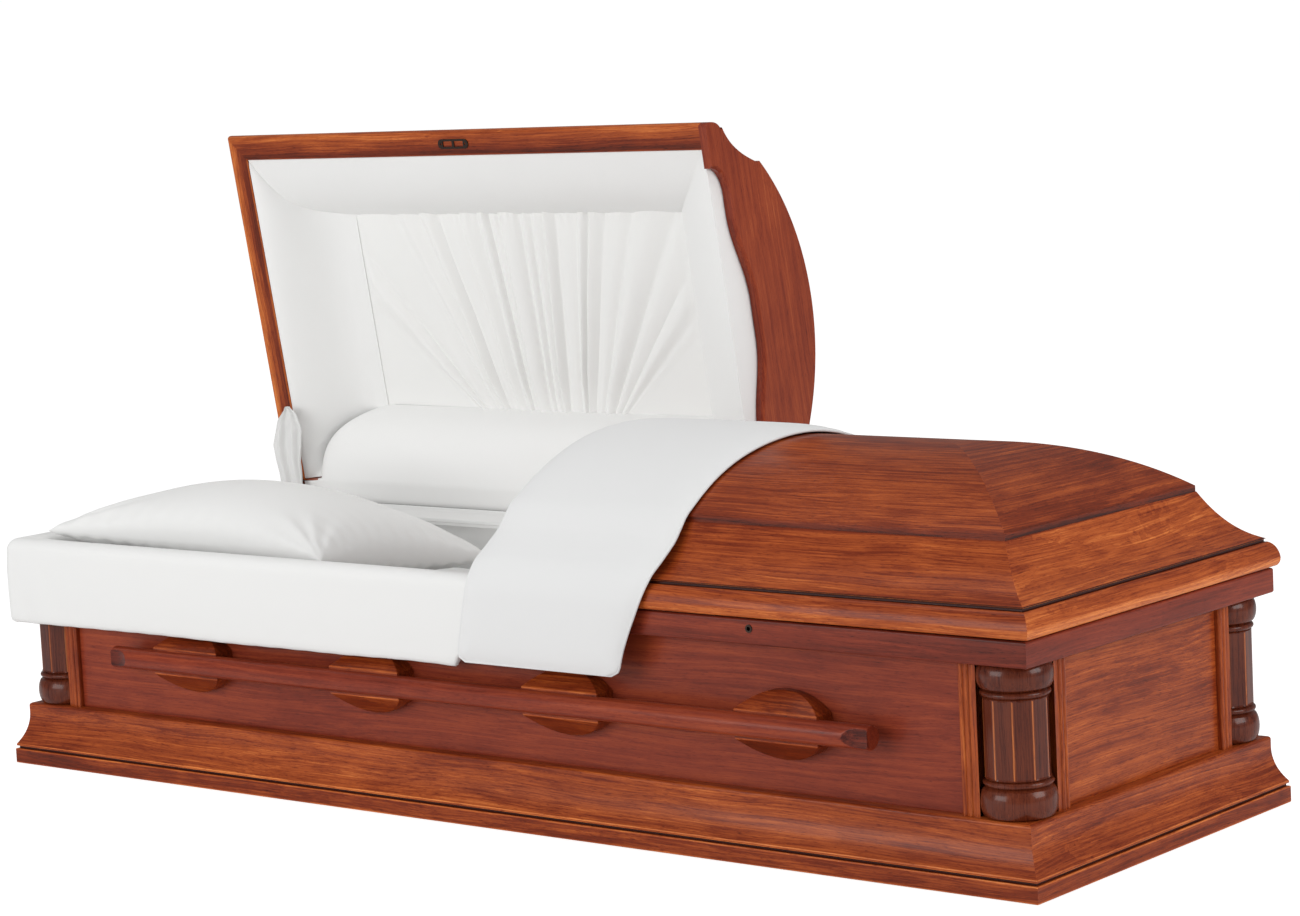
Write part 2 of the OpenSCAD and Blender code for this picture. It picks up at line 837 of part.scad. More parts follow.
module crown_solid(t, side, x0, x1) {
  intersection() {
    translate([x0, 0, 0])
      rotate([90, 0, 90])
        linear_extrude(height = x1 - x0)
          polygon(crown_outline(t));
    translate([0, hw, 0])
      rotate([90, 0, 0])
        linear_extrude(height = width)
          polygon(crown_end_outline(t, side));
  }
}

// End outline carried past the middle of the length, so that one shape serves both lids.
function crown_end_outline(t, side) = concat(
  [[side * (hl - ridge_inset - 1 - t), crown_base]],
  [for (k = [0:12]) let (y = (crown_half - t) * (1 - k / 12))
    [side * (hl - hw + y), crown_z(y, crown_radius - t, crest_height - t)]],
  [[-side * 200, crest_height - t], [-side * 200, crown_base]]);

module crown_shell(side, x0, x1) {
  difference() {
    crown_solid(0, side, x0, x1);
    translate([0, 0, -eps])
      crown_solid(crown_thick, side, x0 - 1, x1 + 1);
  }
}

module head_crown() {
  color(wood) swing() crown_shell(-1, -hl, head_end_x - header_thick);
}

// Half of a lid's outer outline as [inset, height], from the foot of the lip to just short of the crest.
outer_half = concat(mould_outer,
  [[ridge_inset + 1, ridge_height + 0.5]],
  [for (k = [0:11]) let (y = crown_half * (1 - k / 12)) [hw - y, crown_z(y)]]);
arch_turn = arch_start + arch_shoulder;
arch_half = [for (k = [0:10]) let (i = arch_start + arch_shoulder * (1 - cos(9 * k))) [i, arch_z(i)]];
arch_mid = [for (k = [1:14]) let (i = arch_turn + (hw - arch_turn) * k / 15) [i, arch_z(i)]];
arch_points = concat(arch_half, arch_mid);
header_front = concat([for (p = outer_half) [-hw + p[0], p[1]]], [[0, crest_height]]);
header_back = [for (k = [len(outer_half) - 1:-1:0]) [hw - outer_half[k][0], outer_half[k][1]]];
header_arch = concat(
  [for (p = arch_points) [hw - p[0], p[1]]], [[0, arch_z(hw)]],
  [for (k = [len(arch_points) - 1:-1:0]) [-hw + arch_points[k][0], arch_points[k][1]]]);

module header_board(x0) {
  translate([x0, 0, 0])
    rotate([90, 0, 90])
      linear_extrude(height = header_thick)
        polygon(concat(header_front, header_back, header_arch));
}

module head_header() {
  color(wood) swing() header_board(head_end_x - header_thick);
}

module keeper() {
  round_r = keeper_width / 2;
  straight = keeper_length / 2 - round_r;
  color(metal)
    swing()
      difference() {
        translate([keeper_x, -hw + keeper_inset, lid_low - keeper_proud]) {
          translate([-straight, -round_r, 0])
            cube([2 * straight, keeper_width, keeper_proud]);
          for (s = [-1, 1])
            translate([s * straight, 0, 0])
              cylinder(h = keeper_proud, r = round_r, $fn = 48);
        }
        keeper_slots(lid_low - 5, lid_low + 5);
        for (s = [-1, 1])
          translate([keeper_x + s * (straight + 1), -hw + keeper_inset, lid_low - 5])
            cylinder(h = 10, r = 1.8, $fn = 24);
      }
}

// The padded surround of the lid: a roll from the rim to the fan panel, bellied to the inside.
puff_bulge = 22;
function puff_belly(t) =
  [rim_inset + 3 + (fan_inset - rim_inset - 3) * t + puff_bulge * sin(180 * t) * 0.7,
   lid_low + 3 + (fan_depth - 3) * t - puff_bulge * sin(180 * t) * 0.7];
puff_section = concat(
  [for (k = [0:10]) puff_belly(k / 10)],
  [[fan_inset, fan_z + 14], [crown_inner_inset + 18, fan_z + 14], [crown_inner_inset - 3, fan_z - 24],
   [rim_inset + 39, lid_low + 44], [rim_inset + 15, lid_low + 23], [rim_inset + 3, lid_low + 11]]);

module puff_ring(x0, x1) {
  low = lid_low;
  high = fan_z + 20;
  span = mitre_reach + 60;
  near = hw - span;
  for (side = [-1, 1]) {
    end_x = side < 0 ? x0 : x1;
    far_x = end_x - side * span;
    intersection() {
      translate([x0, 0, 0])
        rotate([90, 0, 90])
          linear_extrude(height = x1 - x0)
            polygon([for (p = puff_section) [side * (hw - p[0]), p[1]]]);
      translate([0, 0, low])
        linear_extrude(height = high - low)
          polygon([[x0, side * hw], [x1, side * hw], [x1 - span, side * near], [x0 + span, side * near]]);
    }
    intersection() {
      translate([end_x, hw, 0])
        rotate([90, 0, 0])
          linear_extrude(height = width)
            polygon([for (p = puff_section) [-side * p[0], p[1]]]);
      translate([0, 0, low])
        linear_extrude(height = high - low)
          polygon([[end_x, -hw], [end_x, hw], [far_x, near], [far_x, -near]]);
    }
  }
}

puff_split_x = head_end_x - header_thick + rim_width + lip_foot_inset;
module head_puff() {
  color(cloth) swing() puff_ring(-hl, puff_split_x);
}

module head_fan() {
  color(cloth)
    swing()
      translate([-hl + fan_inset + 0.3, -hw + fan_inset + 0.3, fan_z])
        cube([puff_split_x - fan_inset - (-hl + fan_inset) - 0.6, width - 2 * fan_inset - 0.6, 14]);
}

module hinge_head_lid() {
  color(metal) swing() strip_hinge(hinge_head_x0, hinge_head_x1, 1);
}

module foot_mould_front() {
  color(wood) lid_mould_long(-1, foot_start_x + header_thick, hl, false);
}

module foot_mould_back() {
  color(wood) lid_mould_long(1, foot_start_x + header_thick, hl, false);
}

module foot_mould_end() {
  color(wood) cross_piece(mould_section, 1, lid_low - 1, ridge_height + 1);
}

module foot_crown() {
  color(wood) crown_shell(1, foot_start_x + header_thick, hl);
}

module foot_header() {
  color(wood) header_board(foot_start_x);
}

module foot_lining() {
  inset = crown_inner_inset + 18;
  color(cloth)
    translate([foot_start_x + header_thick + 2, -hw + inset, fan_z])
      cube([hl - inset - foot_start_x - header_thick - 2, width - 2 * inset, 14]);
}

// The throw hangs over the foot lid: it follows the crown, bridges the hollow slope and drops down
// in front of the rail.
throw_room = 1.5;
throw_back_y = 210;
function throw_inner(t) = concat(
  [[-hw - 3 - t, throw_low], [-hw - 3 - t, lid_low + 14], [-hw + 3 - t, lid_low + 32]],
  [[-hw + 16 - t * 0.8, groove_top + 6 + t * 0.5], [-hw + 52 - t * 0.8, 446 + t * 0.5],
   [-hw + ridge_inset - 3 - t * 0.7, crown_arc_low - 2 + t * 0.7]],
  [for (k = [0:14]) let (y = -crown_half + 10 + (crown_half - 10 + throw_back_y) * k / 14)
    [y * (1 + t / crown_radius), crown_z(y) + throw_room + t]]);
throw_outer_line = throw_inner(throw_thick);
throw_inner_line = throw_inner(0);

module throw() {
  color(cloth)
    intersection() {
      translate([-20, 0, 0])
        rotate([90, 0, 90])
          linear_extrude(height = 520)
            polygon(concat(throw_inner_line,
              [for (k = [len(throw_outer_line) - 1:-1:0]) throw_outer_line[k]]));
      translate([0, hw, 0])
        rotate([90, 0, 0])
          linear_extrude(height = 2 * width)
            polygon([[lid_split - throw_over, throw_low - 10], [throw_low_x, throw_low - 10],
              [throw_low_x + 55, lid_low + 40], [throw_low_x + 75, ridge_height],
              [throw_crest_x, crest_height + 30], [lid_split - 10, crest_height + 30],
              [lid_split - 16, ridge_height], [lid_split - throw_over + 22, lid_low]]);
    }
}

module hinge_foot_lid() {
  strip_hinge(hinge_foot_x0, hinge_foot_x1, 1);
}

plinth();
base_front();
base_back();
base_head();
base_foot();
panel_front();
panel_back();
panel_head();
panel_foot();
rail_front();
rail_back();
rail_head();
rail_foot();
post_fh();
post_ff();
post_bh();
post_bf();
column_fh();
column_ff();
column_bh();
column_bf();
block_f1();
block_f2();
block_f3();
block_f4();
block_b1();
block_b2();
block_b3();
block_b4();
bar_front();
bar_back();
key_socket();
bed_deck();
mattress();
pillow();
body_lining();
extend_front();
extend_head();
hinge_flap();
hinge_head_body();
hinge_foot_body();
head_mould_front();
head_mould_back();
head_mould_end();
head_crown();
head_header();
keeper();
head_puff();
head_fan();
hinge_head_lid();
foot_mould_front();
foot_mould_back();
foot_mould_end();
foot_crown();
foot_header();
foot_lining();
throw();
hinge_foot_lid();
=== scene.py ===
# %% [markdown]
# # A half-couch hardwood casket
# The construction model already holds every board, hinge and pad in its true place. This lesson loads
# that model as a fixed frame and dresses it: the turned and moulded woodwork gets clean curved
# surfaces with a stained grain, and the plain cloth solids become a pillow, a pleated lid lining,
# padded rolls and a throw. Everything is in metres, +X to the foot end, -Y the front, +Z up.

# %% Load the frame
import json
import math

import bmesh
import bpy
import numpy as np
from mathutils import Matrix, Vector


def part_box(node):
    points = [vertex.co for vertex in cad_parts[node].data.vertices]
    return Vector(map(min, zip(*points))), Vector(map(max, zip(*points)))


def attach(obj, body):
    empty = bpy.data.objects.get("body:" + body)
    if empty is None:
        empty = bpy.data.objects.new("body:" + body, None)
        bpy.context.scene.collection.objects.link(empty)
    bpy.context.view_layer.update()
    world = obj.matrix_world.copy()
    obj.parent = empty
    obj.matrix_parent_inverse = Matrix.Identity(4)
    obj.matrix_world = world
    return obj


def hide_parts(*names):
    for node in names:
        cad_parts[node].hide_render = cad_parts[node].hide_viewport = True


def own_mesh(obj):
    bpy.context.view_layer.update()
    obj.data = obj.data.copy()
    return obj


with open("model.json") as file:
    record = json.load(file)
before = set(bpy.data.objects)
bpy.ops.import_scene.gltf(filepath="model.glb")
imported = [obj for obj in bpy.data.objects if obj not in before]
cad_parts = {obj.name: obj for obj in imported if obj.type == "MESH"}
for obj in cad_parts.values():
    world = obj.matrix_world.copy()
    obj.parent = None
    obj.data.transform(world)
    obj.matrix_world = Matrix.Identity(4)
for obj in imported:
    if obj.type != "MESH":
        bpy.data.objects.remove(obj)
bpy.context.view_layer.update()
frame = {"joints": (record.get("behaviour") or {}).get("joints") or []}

# %% [markdown]
# ## Sizes
# A maker works from insets: how far each moulding stands back from the edge of the plinth. So the
# sizes are read from the nodes' boxes once, turned into millimetres, and every section below is drawn
# as pairs of inset and height.

# %% Sizes read from the frame
MM = 0.001


def low_high(node):
    """Lowest and highest corner of a construction node, in millimetres."""
    low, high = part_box(node)
    return np.array(low) / MM, np.array(high) / MM


HALF_L, HALF_W, PLINTH_TOP = low_high("plinth")[1]
BASE_TOP = low_high("base_front")[1][2]
RAIL_LOW, RAIL_TOP = low_high("rail_back")[0][2], low_high("rail_back")[1][2]
RAIL_IN = HALF_W + low_high("rail_front")[0][1]
PANEL_IN = HALF_W + low_high("panel_front")[0][1]
WALL_IN = HALF_W + low_high("panel_front")[1][1]
POST_REACH = HALF_L + low_high("panel_front")[0][0]
LID_LOW, RIDGE_Z = low_high("foot_mould_front")[0][2], low_high("foot_mould_front")[1][2]
CREST = low_high("foot_crown")[1][2]
FOOT_FROM, FOOT_BOARD = low_high("foot_header")[0][0], low_high("foot_crown")[0][0]
BOARD = FOOT_BOARD - FOOT_FROM
HEAD_TO = FOOT_FROM - 3
hinge = frame["joints"][0]
HINGE = np.array(hinge["pos_m"]) / MM
OPEN = max(abs(a) for a in hinge["range_deg"])

# Each side's name, the axis that its boards run along, and which side of the middle it lies on; then
# each corner's name (front or back, head or foot) and its side of the middle in x and in y.
SIDES = (("front", "x", -1), ("back", "x", 1), ("head", "y", -1), ("foot", "y", 1))
CORNERS = (("fh", -1, -1), ("ff", 1, -1), ("bh", -1, 1), ("bf", 1, 1))
print(f"half length {HALF_L:.0f}, half width {HALF_W:.0f}, crest {CREST:.1f} mm, lid open {OPEN} degrees")

# %% [markdown]
# ## Helpers for surfaces
# Every new piece is one or more parts. A part is a numpy array of points with its faces, and it also
# carries its grain: each point's place in its own board, with the first number running along the
# fibres. A second number is added to the colour: above 0 it lightens an edge, partly as stain rubbed
# thin and partly as a painted highlight; below 0 it darkens a groove or hollow as painted shade.

# %% Grids, prisms and slabs


def surface(x, y, z):
    """A grid of points from three arrays, each repeated along the sides where it doesn't change."""
    return np.stack(np.broadcast_arrays(x, y, z), -1)


def grid_quads(rows, cols, wrap_rows=False, wrap_cols=False):
    """Four-sided faces of a grid numbered row by row; a wrapped side joins back to its start."""
    r = np.arange(rows if wrap_rows else rows - 1)[:, None]
    c = np.arange(cols if wrap_cols else cols - 1)[None, :]
    r2, c2 = (r + 1) % rows, (c + 1) % cols
    return np.stack([r * cols + c, r2 * cols + c, r2 * cols + c2, r * cols + c2], -1).reshape(-1, 4)


def prism(stations):
    """A closed bar from a loop of n points at each of m places, (m, n, 3), with both ends capped."""
    m, n = stations.shape[:2]
    caps = [tuple(range(n)), tuple(range((m - 1) * n, m * n))]
    return stations.reshape(-1, 3), grid_quads(m, n, wrap_cols=True), caps


def border(grid):
    """The values of a grid once round its edge, starting at its first corner."""
    return np.concatenate([grid[0], grid[1:, -1], grid[-1, -2::-1], grid[-2:0:-1, 0]])


def slab(outer, inner):
    """A closed sheet between two grids of the same shape: both faces, and a strip round the border."""
    rows, cols = outer.shape[:2]
    one = grid_quads(rows, cols)
    rim = border(np.arange(rows * cols).reshape(rows, cols))
    after = np.roll(rim, -1)
    strip = np.stack([rim, after, after + rows * cols, rim + rows * cols], -1)
    points = np.concatenate([outer.reshape(-1, 3), inner.reshape(-1, 3)])
    return points, np.concatenate([one, one[:, ::-1] + rows * cols, strip]), []


def board(axis, shift=0.0):
    """Grain places for a board whose fibres run along x, y or z, shifted to a fresh part of the tree."""
    order = {"x": [0, 1, 2], "y": [1, 0, 2], "z": [2, 0, 1]}[axis]
    return lambda points: points[:, order] + np.array([2.7, 1.3, 0.9]) * shift / MM


def part(shape, grain, wear=0.0, tone=0.0):
    """Points, faces, grain, wear and painted light, and tone of one part, with the wear and painted light
    given once for all points or for each.
    """
    points, quads, caps = shape
    count = len(points)
    wear = np.broadcast_to(np.asarray(wear, float).ravel() if np.ndim(wear) else wear, (count,))
    return {"points": points, "quads": quads, "caps": caps, "grain": grain(points),
            "wear": wear, "tone": np.broadcast_to(tone, (count,)) + 0.0}


# %% [markdown]
# ## From arrays to an object
# Points that fall together, at a pole or a pointed end, are merged first, and faces that collapse are
# dropped or become triangles. Then the parts are joined, the faces are turned outwards, and edges
# sharper than a chosen angle are marked so that the rest can be shaded smooth.

# %% The piece maker


def merged(points):
    """Makes one of the points that agree to 0.001 mm: the first of each, and for every point, which one."""
    _, first, back = np.unique(np.round(points * 1e3).astype(np.int64), axis=0,
                               return_index=True, return_inverse=True)
    return first, back.ravel()


def clean_faces(faces):
    """Drops repeated corners from each face, and faces that are left with fewer than three."""
    out = []
    for face in faces:
        kept = [a for a, b in zip(face, face[1:] + face[:1]) if a != b]
        if len(set(kept)) == len(kept) and len(kept) > 2:
            out.append(kept)
    return out


def make_piece(name, node, parts, crease, body, material):
    """One mesh object from its parts, in metres, riding on its body and standing for its node.

    The head lid's parts are drawn shut, so their points are swung open on the way.
    """
    points, faces, grain, wear, tone = [], [], [], [], []
    start = 0
    for p in parts:
        first, back = merged(p["points"])
        quads = back[p["quads"]]
        whole = np.all(quads != np.roll(quads, -1, 1), axis=1)
        faces += (quads[whole] + start).tolist()
        faces += clean_faces((quads[~whole] + start).tolist())
        faces += clean_faces([[int(back[i]) + start for i in cap] for cap in p["caps"]])
        for held, key in ((points, "points"), (grain, "grain"), (wear, "wear"), (tone, "tone")):
            held.append(p[key][first])
        start += len(first)
    points = np.concatenate(points)
    mesh = bpy.data.meshes.new(name)
    mesh.from_pydata((swing(points) if body == "head_lid" else points) * MM, [], faces)
    for key, kind, field, values in (("grain", "FLOAT_VECTOR", "vector", np.concatenate(grain) * MM),
                                     ("wear", "FLOAT", "value", np.concatenate(wear)),
                                     ("tone", "FLOAT", "value", np.concatenate(tone))):
        held = mesh.attributes.new(key, kind, "POINT")
        held.data.foreach_set(field, values.astype(np.float32).ravel())
    work = bmesh.new()
    work.from_mesh(mesh)
    bmesh.ops.recalc_face_normals(work, faces=work.faces[:])
    work.to_mesh(mesh)
    work.free()
    mesh.shade_smooth()
    mesh.set_sharp_from_angle(angle=math.radians(crease))
    mesh.materials.append(material)
    obj = bpy.data.objects.new(name, mesh)
    bpy.context.scene.collection.objects.link(obj)
    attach(obj, body)
    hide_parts(node)
    return obj


def swing(points):
    """The head lid is drawn shut and turned open about the hinge line, as a lid on its hinge turns."""
    a = math.radians(OPEN)
    y, z = points[:, 1] - HINGE[1], points[:, 2] - HINGE[2]
    turned = points.copy()
    turned[:, 1] = HINGE[1] + y * math.cos(a) + z * math.sin(a)
    turned[:, 2] = HINGE[2] - y * math.sin(a) + z * math.cos(a)
    return turned


# %% [markdown]
# ## A short way to write a material
# Every material is a small tree of nodes that ends in one shader. This class adds a node, sets its
# inputs and links it in a single call.

# %% Node trees


class Nodes:
    """A material's node tree: an input that is given as a socket is linked, and any other is set."""

    def __init__(self, name):
        self.material = bpy.data.materials.new(name)
        self.material.use_nodes = True
        self.tree = self.material.node_tree
        self.shader = self.tree.nodes["Principled BSDF"]

    def add(self, kind, inputs=None, **settings):
        """A new node, with its settings, its constants and its links."""
        node = self.tree.nodes.new("ShaderNode" + kind)
        for key, value in settings.items():
            setattr(node, key, value)
        for key, value in (inputs or {}).items():
            if isinstance(value, bpy.types.NodeSocket):
                self.tree.links.new(value, node.inputs[key])
            else:
                node.inputs[key].default_value = value
        return node

    def maths(self, operation, a, b=0.0, clamp=False):
        """The number a (operation) b, kept between 0 and 1 if clamped."""
        return self.add("Math", {0: a, 1: b}, operation=operation, use_clamp=clamp).outputs[0]

    def vector(self, operation, a, b):
        """The vector a (operation) b, axis by axis."""
        return self.add("VectorMath", {0: a, 1: b}, operation=operation).outputs[0]

    def centred(self, value, share):
        """share times how far the value is from its middle, 0.5."""
        return self.maths("MULTIPLY", self.maths("SUBTRACT", value, 0.5), share)

    def stretched(self, place, by, detail=3.0, roughness=0.55, distortion=0.0):
        """Noise read at the grain place, scaled on each axis, so that its blobs become streaks."""
        where = self.vector("MULTIPLY", place, by)
        return self.add("TexNoise", {"Vector": where, "Scale": 1.0, "Detail": detail,
                                     "Roughness": roughness, "Distortion": distortion}).outputs["Fac"]

    def ramp(self, value, stops):
        """A colour ramp from (place, colour) pairs."""
        node = self.add("ValToRGB", {"Fac": value})
        band = node.color_ramp
        while len(band.elements) < len(stops):
            band.elements.new(0.5)
        for element, (place, colour) in zip(band.elements, stops):
            element.position, element.color = place, (*colour, 1)
        return node.outputs["Color"]

    def set(self, **values):
        """Constants and sockets for the shader's own inputs."""
        for key, value in values.items():
            socket = self.shader.inputs[key.replace("_", " ")]
            if isinstance(value, bpy.types.NodeSocket):
                self.tree.links.new(value, socket)
            else:
                socket.default_value = value


# %% [markdown]
# ## Camera and light
# A long lens from the front corner of the foot end, a little above the lid, keeps the long lines
# almost parallel. The light is a plain white room with a large soft panel at each side, so that the
# lacquer has something broad to mirror.

# %% Camera
STAND = (3.6406, -4.2741, 1.2135)
YAW, PITCH, ROLL = math.radians(129.51), math.radians(-6.93), math.radians(-2.923)
forward = Vector((math.cos(PITCH) * math.cos(YAW), math.cos(PITCH) * math.sin(YAW), math.sin(PITCH)))
level = Vector((math.sin(YAW), -math.cos(YAW), 0))
upright = level.cross(forward)
right = math.cos(ROLL) * level + math.sin(ROLL) * upright
up = math.cos(ROLL) * upright - math.sin(ROLL) * level
lens = bpy.data.cameras.new("camera")
lens.sensor_width, lens.lens = 36.0, 97.14
lens.shift_x, lens.shift_y = 0.0013, -0.0025
camera = bpy.data.objects.new("camera", lens)
bpy.context.scene.collection.objects.link(camera)
turn = Matrix((right, up, -forward)).transposed().to_4x4()
camera.matrix_world = Matrix.Translation(STAND) @ turn
bpy.context.scene.camera = camera
print("camera at", [round(x, 2) for x in camera.location])

# %% Light
scene = bpy.context.scene
scene.view_settings.view_transform = "Standard"
world = bpy.data.worlds.new("studio")
scene.world = world
world.use_nodes = True
ROOM_GLOW, MIRRORED_GLOW, BACKDROP_GLOW = 0.56, 0.20, 1.02
world_nodes, world_links = world.node_tree.nodes, world.node_tree.links
world_nodes.remove(world_nodes["Background"])
ray = world_nodes.new("ShaderNodeLightPath")


def white_room(strength):
    """A plain white background of one strength."""
    node = world_nodes.new("ShaderNodeBackground")
    node.inputs["Color"].default_value = (1, 1, 1, 1)
    node.inputs["Strength"].default_value = strength
    return node.outputs[0]


def chosen_by(kind, plain, special):
    """The special background for one kind of ray, and the plain one for all others."""
    mix = world_nodes.new("ShaderNodeMixShader")
    for place, socket in enumerate((ray.outputs[kind], plain, special)):
        world_links.new(socket, mix.inputs[place])
    return mix.outputs[0]


lit = chosen_by("Is Glossy Ray", white_room(ROOM_GLOW), white_room(MIRRORED_GLOW))
lit = chosen_by("Is Camera Ray", lit, white_room(BACKDROP_GLOW))
world_links.new(lit, world_nodes["World Output"].inputs["Surface"])


def soft_panel(name, place, aim, size, watts):
    """A rectangular soft light at place, facing aim."""
    data = bpy.data.lights.new(name, "AREA")
    data.shape, data.size, data.size_y, data.energy = "RECTANGLE", size[0], size[1], watts
    lamp = bpy.data.objects.new(name, data)
    scene.collection.objects.link(lamp)
    lamp.location = place
    lamp.rotation_euler = (Vector(aim) - Vector(place)).to_track_quat("-Z", "Y").to_euler()


soft_panel("panel_front_light", (-0.9, -4.0, 1.3), (-0.4, 0, 0.6), (3.0, 1.6), 66)
soft_panel("panel_foot_light", (4.2, 0.4, 1.7), (0.6, 0, 0.3), (2.2, 1.6), 56)
soft_panel("panel_top_light", (0.2, -0.4, 3.6), (0.1, 0, 0.3), (3.4, 1.6), 20)

FLOOR_HALF, FLOOR_Z = 14, -0.0006
floor_mesh = bpy.data.meshes.new("floor")
floor_mesh.from_pydata([(sx * FLOOR_HALF, sy * FLOOR_HALF, FLOOR_Z)
                        for sx, sy in ((-1, -1), (1, -1), (1, 1), (-1, 1))], [], [(0, 1, 2, 3)])
floor = bpy.data.objects.new("floor", floor_mesh)
scene.collection.objects.link(floor)
paint = Nodes("floor_paint")
seen_only = paint.add("LightPath").outputs["Is Camera Ray"]
paint.set(Base_Color=(0.85, 0.85, 0.85, 1), Roughness=0.9, Emission_Color=(1, 1, 1, 1),
          Emission_Strength=paint.maths("MULTIPLY", seen_only, 0.62))
floor_mesh.materials.append(paint.material)
print("three soft panels and a pale floor")

# %% [markdown]
# ## Stained wood
# Mahogany stain on a fine-grained hardwood shows three things at once: the growth rings, which wander
# as broad figures; short dark pores along the fibres; and clouds where the board took more stain. All
# of them are read from the grain attribute, so a mitred frame has its fibres running along each side.
# A thin lacquer coat over it gives the second, sharper reflection.

# %% The wood material


def stained_wood(name, dark, middle, light, glow, contrast=1.0, gloss=0.36, coat=0.08):
    """Stained and lacquered wood.

    Its value is 0.5, plus a share of how far each pattern (rings, fibres, streaks, clouds, shimmer) is
    from its middle, less the pores, plus 0.30 of the wear and painted light, and the board's tone, which
    is its own except on the rail, where it is painted shade. A colour ramp from the dark stain to the
    glow of bare wood turns the value into a colour.
    """
    n = Nodes(name)
    place = n.add("Attribute", attribute_name="grain").outputs["Vector"]
    wear = n.add("Attribute", attribute_name="wear").outputs["Fac"]
    tone = n.add("Attribute", attribute_name="tone").outputs["Fac"]
    wander = n.add("TexNoise", {"Vector": n.vector("MULTIPLY", place, (1.5, 5.0, 5.0)),
                                "Scale": 1.0, "Detail": 2.0, "Roughness": 0.5}).outputs["Color"]
    drift = n.vector("MULTIPLY", n.vector("SUBTRACT", wander, (0.5, 0.5, 0.5)), (0.0, 0.05, 0.05))
    bent = n.vector("ADD", place, drift)
    rings = n.add("TexWave", {"Vector": bent, "Scale": 34.0, "Distortion": 1.6, "Detail": 2.0,
                              "Detail Scale": 2.0, "Detail Roughness": 0.6},
                  wave_type="RINGS", rings_direction="X", wave_profile="SAW").outputs["Fac"]
    fibre = n.stretched(bent, (4.5, 430.0, 430.0), 4.0, 0.66)
    streak = n.stretched(bent, (2.2, 110.0, 110.0), 3.0, 0.6)
    pores = n.stretched(bent, (70.0, 1300.0, 1300.0), 2.0, 0.5)
    cloud = n.stretched(place, (2.2, 11.0, 11.0), 3.0, 0.55)
    shimmer = n.stretched(place, (16.0, 38.0, 38.0), 2.0, 0.5)
    value = 0.5
    for source, share in ((rings, 0.11), (fibre, 0.95), (streak, 0.55), (cloud, 0.60), (shimmer, 0.30)):
        value = n.maths("ADD", value, n.centred(source, share * contrast))
    tick = n.maths("MULTIPLY", n.maths("SUBTRACT", pores, 0.58, clamp=True), 2.4 * contrast)
    value = n.maths("SUBTRACT", value, tick)
    value = n.maths("ADD", value, n.maths("MULTIPLY", wear, 0.30))
    value = n.maths("ADD", value, tone)
    colour = n.ramp(value, ((0.05, dark), (0.42, middle), (0.68, light), (1.0, glow)))
    rough = n.maths("ADD", gloss, n.centred(fibre, 0.25))
    bump = n.add("Bump", {"Strength": 0.10, "Distance": 0.0006, "Height": fibre})
    n.set(Base_Color=colour, Roughness=rough, Normal=bump.outputs["Normal"], Coat_Weight=coat,
          Coat_Roughness=0.12, IOR=1.42, Specular_IOR_Level=0.25)
    return n.material


WOOD = stained_wood("mahogany_stain", (0.040, 0.005, 0.002), (0.200, 0.027, 0.006),
                    (0.42, 0.085, 0.016), (0.78, 0.24, 0.055), contrast=0.85)
WOOD_RED = stained_wood("mahogany_stain_red", (0.045, 0.006, 0.004), (0.205, 0.029, 0.013),
                        (0.34, 0.060, 0.020), (0.58, 0.16, 0.05), contrast=0.65)
WOOD_DARK = stained_wood("column_stain", (0.012, 0.002, 0.001), (0.060, 0.009, 0.004),
                         (0.17, 0.034, 0.012), (0.66, 0.20, 0.05), contrast=0.5, gloss=0.3, coat=0.25)


def wood_piece(node, parts, crease=35.0, body="casket", material=WOOD):
    """A wooden piece in place of one node."""
    return make_piece(f"{node}_wood", node, parts, crease, body, material)


print("wood finishes:", [m.name for m in (WOOD, WOOD_RED, WOOD_DARK)])

# %% [markdown]
# ## Drawing a moulding
# A moulding is a section carried along a straight line and cut at 45 degrees where it meets its
# neighbour. The section's corners are eased by a small curve, as sandpaper leaves them, and those
# curves also set the painted light: outside corners are lighter, partly as worn stain and partly as a
# painted highlight, and inside corners are darker, as painted shade.

# %% Sections


def arc(cx, cz, r, a, b, n=8):
    """Points of a circular arc round (cx, cz) from angle a to angle b in degrees."""
    t = np.radians(np.linspace(a, b, n + 1))
    return np.column_stack([cx + r * np.cos(t), cz + r * np.sin(t)])


